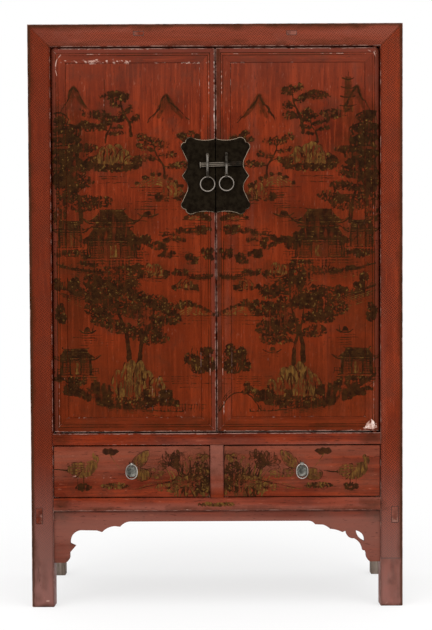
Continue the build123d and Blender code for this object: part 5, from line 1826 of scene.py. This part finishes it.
def make_rosette(side, material):
    """The domed middle of a drawer's pull plate, turned with two fine rings."""
    low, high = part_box(f"{side}_pull_ring")
    middle = (low + high) / 2
    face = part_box(f"{side}_drawer_front")[0].y - 1.5 * MM
    turn = np.linspace(0, 2 * math.pi, 49)[:-1]
    radius, rise, rubbed = np.array(ROSETTE).T[:, :, None]
    radius, rise = radius * MM, rise * MM
    rings = (middle.x + radius * np.cos(turn), face - rise + 0 * turn, middle.z + radius * np.sin(turn))
    points = np.stack(rings, -1).reshape(-1, 3)
    faces = [corners[::-1] for corners in grid_faces(len(ROSETTE), len(turn))]
    finish = np.zeros(points.shape)
    # Each ring's rubbed brightness with its painted highlight.
    finish[:, 0] = np.repeat(rubbed, len(turn))
    piece = mesh_piece(f"{side}_pull_rosette", points, faces, material)
    paint(piece, "finish", finish)
    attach(piece, f"{side}_drawer")


# Rails whose tenons pass through to the front
BATTEN_MIDDLE = 230 * MM
BATTEN_TENON = 6 * MM
PROUD = 0.4 * MM
JOINT_PROUD = 0.15 * MM


def make_through_rails(rail_material, batten_material, tenon_material, gap_material):
    """The top battens and the low side rails, whose tenon ends stand a hair proud of the front."""

    def place(a, b, s):
        return a, s, b

    def bar(x0, x1, z0, z1, y0, y1, rounds=(0, 0), corner=RAIL_CORNER, wear=0.5):
        loop = board_loop(x0, x1, z0, z1, 6 * MM, corner)
        return swept(loop, place, constant(y0), constant(y1), 8 * MM, 51, (wear, wear), rounds)

    def tenon(x0, x1, z0, z1, corner, wear):
        """A tenon's end, and the dark joint round it: dirt, with the gap's shadow painted in."""
        end = bar(x0, x1, z0, z1, FRONT - PROUD, POST_BACK + MM, (MM, 0), corner, wear)
        around = (x0 - MM, x1 + MM, z0 - MM, z1 + MM, FRONT - JOINT_PROUD, POST_BACK - MM)
        return end, bar(*around, corner=corner + 0.5 * MM)

    low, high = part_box("top_battens")
    inner = 2 * BATTEN_MIDDLE - high.x
    middle = (low.z + high.z) / 2
    z0, z1 = middle - BATTEN_TENON, middle + BATTEN_TENON
    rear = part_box("top_rear_rail")[0].y
    battens, tenons = [], []
    for x0, x1 in ((inner, high.x), (-high.x, -inner)):
        battens.append(bar(x0, x1, low.z, high.z, POST_BACK, rear))
        battens.append(bar(x0, x1, z0, z1, rear - 2 * MM, BACK + 0.2 * MM, (0, MM)))
        tenons.append(tenon(x0, x1, z0, z1, 2.5 * MM, 0.4))
    worn_board("top_battens", "case", "bare_wood", battens, batten_material)
    add_tenons("top", tenons, tenon_material, gap_material)

    tenons = []
    for side, sign in SIDES.items():
        low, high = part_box(f"{side}_bottom_rail")
        x0, x1 = sorted((abs(low.x), abs(high.x)))
        y1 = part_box(f"{side}_rear_post")[0].y
        rail = bar(*sorted((sign * x0, sign * x1)), low.z, high.z, POST_BACK, y1)
        worn_board(f"{side}_bottom_rail", "case", "frame_lacquer", [rail], rail_material)
        across = sorted((sign * x0, sign * (x1 - 14 * MM)))
        tenons.append(tenon(*across, low.z + 2 * MM, high.z - 2 * MM, 3 * MM, 0.5))
    add_tenons("low", tenons, tenon_material, gap_material)


def add_tenons(name, tenons, tenon_material, gap_material):
    for kind, parts, material in zip(("ends", "joints"), zip(*tenons), (tenon_material, gap_material)):
        piece = join_boards(f"{name}_tenon_{kind}", parts, material)
        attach(piece, "case")


# Pieces that keep their CAD shape
METAL_PARTS = ("staple", "plate", "pull")


def soften_nodes():
    """Bevels the edges of the CAD pieces that stay in view."""
    for name, node in frame["nodes"].items():
        if node.hide_render:
            continue
        weld = node.modifiers.new("weld", "WELD")
        weld.merge_threshold = 0.01 * MM
        bevel = node.modifiers.new("bevel", "BEVEL")
        bevel.width = 0.5 * MM if any(part in name for part in METAL_PARTS) else 1.2 * MM
        bevel.segments = 2
        bevel.limit_method = "ANGLE"
        bevel.angle_limit = math.radians(40)


def three_ways(make, name, *colours, **shades):
    """The same finish with its grain upright, across and from front to back."""
    ways = {"upright": UPRIGHT, "lying": LYING, "deep": DEEP}
    return {way: make(f"{name}_{way}", grain, *colours, **shades) for way, grain in ways.items()}


PAIRS = {"battens": "lying", "bearers": "deep", "runners": "deep", "drawer_sides": "deep"}


def along_longest(node):
    """Which way a board's grain runs: along its longest side, or for pieces in pairs as listed."""
    for ending, way in PAIRS.items():
        if node.endswith(ending):
            return way
    low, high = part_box(node)
    sides = {"lying": high.x - low.x, "deep": high.y - low.y, "upright": high.z - low.z}
    return max(sides, key=sides.get)


def finish_nodes(materials):
    """Materials of the CAD pieces that stay in view, by the record's slots."""
    for row in frame["record"]["subparts"]:
        node = frame["nodes"][row["node"]]
        if node.hide_render:
            continue
        finish = materials[row["material_slot"]]
        if isinstance(finish, dict):
            finish = finish[along_longest(row["node"])]
        node.data.materials.clear()
        node.data.materials.append(finish)


make_camera()
make_world(0.95)
make_lamp("key", (-2.4, -3.8, 3.4), 3.0, 44)
make_lamp("fill", (2.8, -3.8, 2.0), 3.0, 36)
make_lamp("top", (0.3, -1.6, 4.4), 3.4, 62)
make_floor()
bpy.context.scene.view_settings.view_transform = "Standard"

frame_upright = make_frame_lacquer("frame_upright", UPRIGHT, 0.85, grime=0.5, faded=0.03)
frame_lying = make_frame_lacquer(
    "frame_lying", LYING, 0.6, grime=0.5, faded=0.2, light=srgb(90, 34, 18), haze_colour=FADED_DARK)
plain = three_ways(make_plain_lacquer, "plain_lacquer", grime=0.5)
sill_lacquer = make_frame_lacquer("sill_lacquer", LYING, grime=0.2, faded=0.11)
low_lacquer = make_frame_lacquer("low_lacquer", LYING, grime=0.25, faded=0.26)
door_red = srgb(105, 36, 14)
painted = {"upright": make_door_lacquer("painted_upright", UPRIGHT, light=door_red, grime=0.35, faded=-0.05)}
painted["lying"] = make_door_lacquer("painted_lying", LYING, light=srgb(100, 36, 18), grime=0.45)
drawer_haze = srgb(122, 70, 54)
drawer_lacquer = make_frame_lacquer(
    "painted_drawer", LYING, grime=0.4, faded=0.17, light=srgb(110, 44, 25), haze_colour=drawer_haze)
wood = three_ways(make_bare_wood, "bare_wood", srgb(104, 88, 76), srgb(146, 130, 118))
tenon_lacquer = make_plain_lacquer("tenon_lacquer", (1, 1, 1), grime=0.6, faded=0.2)
# Dark dirt in the joints round the tenon ends, with the shadow of their gaps painted in.
joint_dirt = make_bare_wood("joint_dirt", (1, 1, 1), srgb(30, 17, 12), srgb(52, 31, 24))
# Each metal's last colour is that of its rims, rubbed bright and with a painted highlight.
metals = {
    f"{name}_metal": make_metal(f"{name}_metal", srgb(*dark), srgb(*light), roughness, srgb(*rubbed))
    for name, dark, light, roughness, rubbed in (
        ("plate", (18, 13, 8), (32, 26, 18), 0.5, (140, 122, 104)),
        ("lock", (34, 30, 25), (70, 64, 57), 0.42, (176, 168, 158)),
        ("pin", (22, 19, 15), (44, 35, 28), 0.45, (112, 103, 92)),
        ("ring", (62, 56, 49), (96, 88, 79), 0.42, (136, 127, 118)),
        ("pull", (62, 61, 56), (128, 126, 118), 0.45, (170, 166, 158)),
        ("pull_ring", (110, 104, 98), (150, 143, 136), 0.42, (186, 178, 170)),
    )
}

case_picture = Canvas(-OUTER, OUTER, 0, HEIGHT, 1, 2)
paint_case(case_picture)
make_posts(frame_upright, case_picture)
make_top_front_rail(frame_lying, case_picture)
make_top_side_rails(plain["deep"])
make_front_rails(sill_lacquer, low_lacquer, case_picture)
make_through_rails(plain["deep"], wood["deep"], tenon_lacquer, joint_dirt)
drawer_low, drawer_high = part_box("right_drawer_front")
for side, sign in SIDES.items():
    door_picture = Canvas(DOOR_INNER, DOOR_OUTER, DOOR_LOW, DOOR_HIGH, sign, 5 + sign)
    paint_door(door_picture, side)
    make_door(side, sign, door_picture, painted)
    drawer_picture = Canvas(drawer_low.x, drawer_high.x, drawer_low.z, drawer_high.z, sign, 8 + sign)
    paint_drawer(drawer_picture, side)
    make_drawer_front(side, sign, drawer_picture, drawer_lacquer)
    make_lock_plate(side, metals["plate_metal"])
    for name, body, node, reach, wire, metal, seed in (
        ("ring_drawn", "door_ring", "ring", 2.5 * MM, 1.9 * MM, "ring_metal", 91),
        ("pull_drawn", "drawer_ring", "pull_ring", 2 * MM, 1.8 * MM, "pull_ring_metal", 95),
    ):
        make_ring(f"{side}_{name}", f"{side}_{body}", f"{side}_{node}", reach, wire, metals[metal], seed + sign)
    make_rosette(side, metals["pull_metal"])
    make_fitting(f"{side}_door", "lock_metal", f"{side}_staple", 0.7 * MM, 0.0, 0.4, metals["lock_metal"])
    make_fitting(f"{side}_drawer", "pull_plate_metal", f"{side}_pull_plate", 0.4 * MM, 0.9, 0.1, metals["pull_metal"])
make_lock_pin(metals["pin_metal"])
finish_nodes({
    "frame_lacquer": plain,
    "door_lacquer": painted["upright"],
    "drawer_lacquer": drawer_lacquer,
    "apron_lacquer": make_apron_lacquer(),
    "side_lacquer": make_plain_lacquer("side_lacquer", UPRIGHT, grime=0.6, faded=0.03),
    "bare_wood": wood,
    "lock_plate_metal": metals["plate_metal"],
    "lock_metal": metals["lock_metal"],
    "ring_metal": metals["ring_metal"],
    "pull_plate_metal": metals["pull_metal"],
})
soften_nodes()
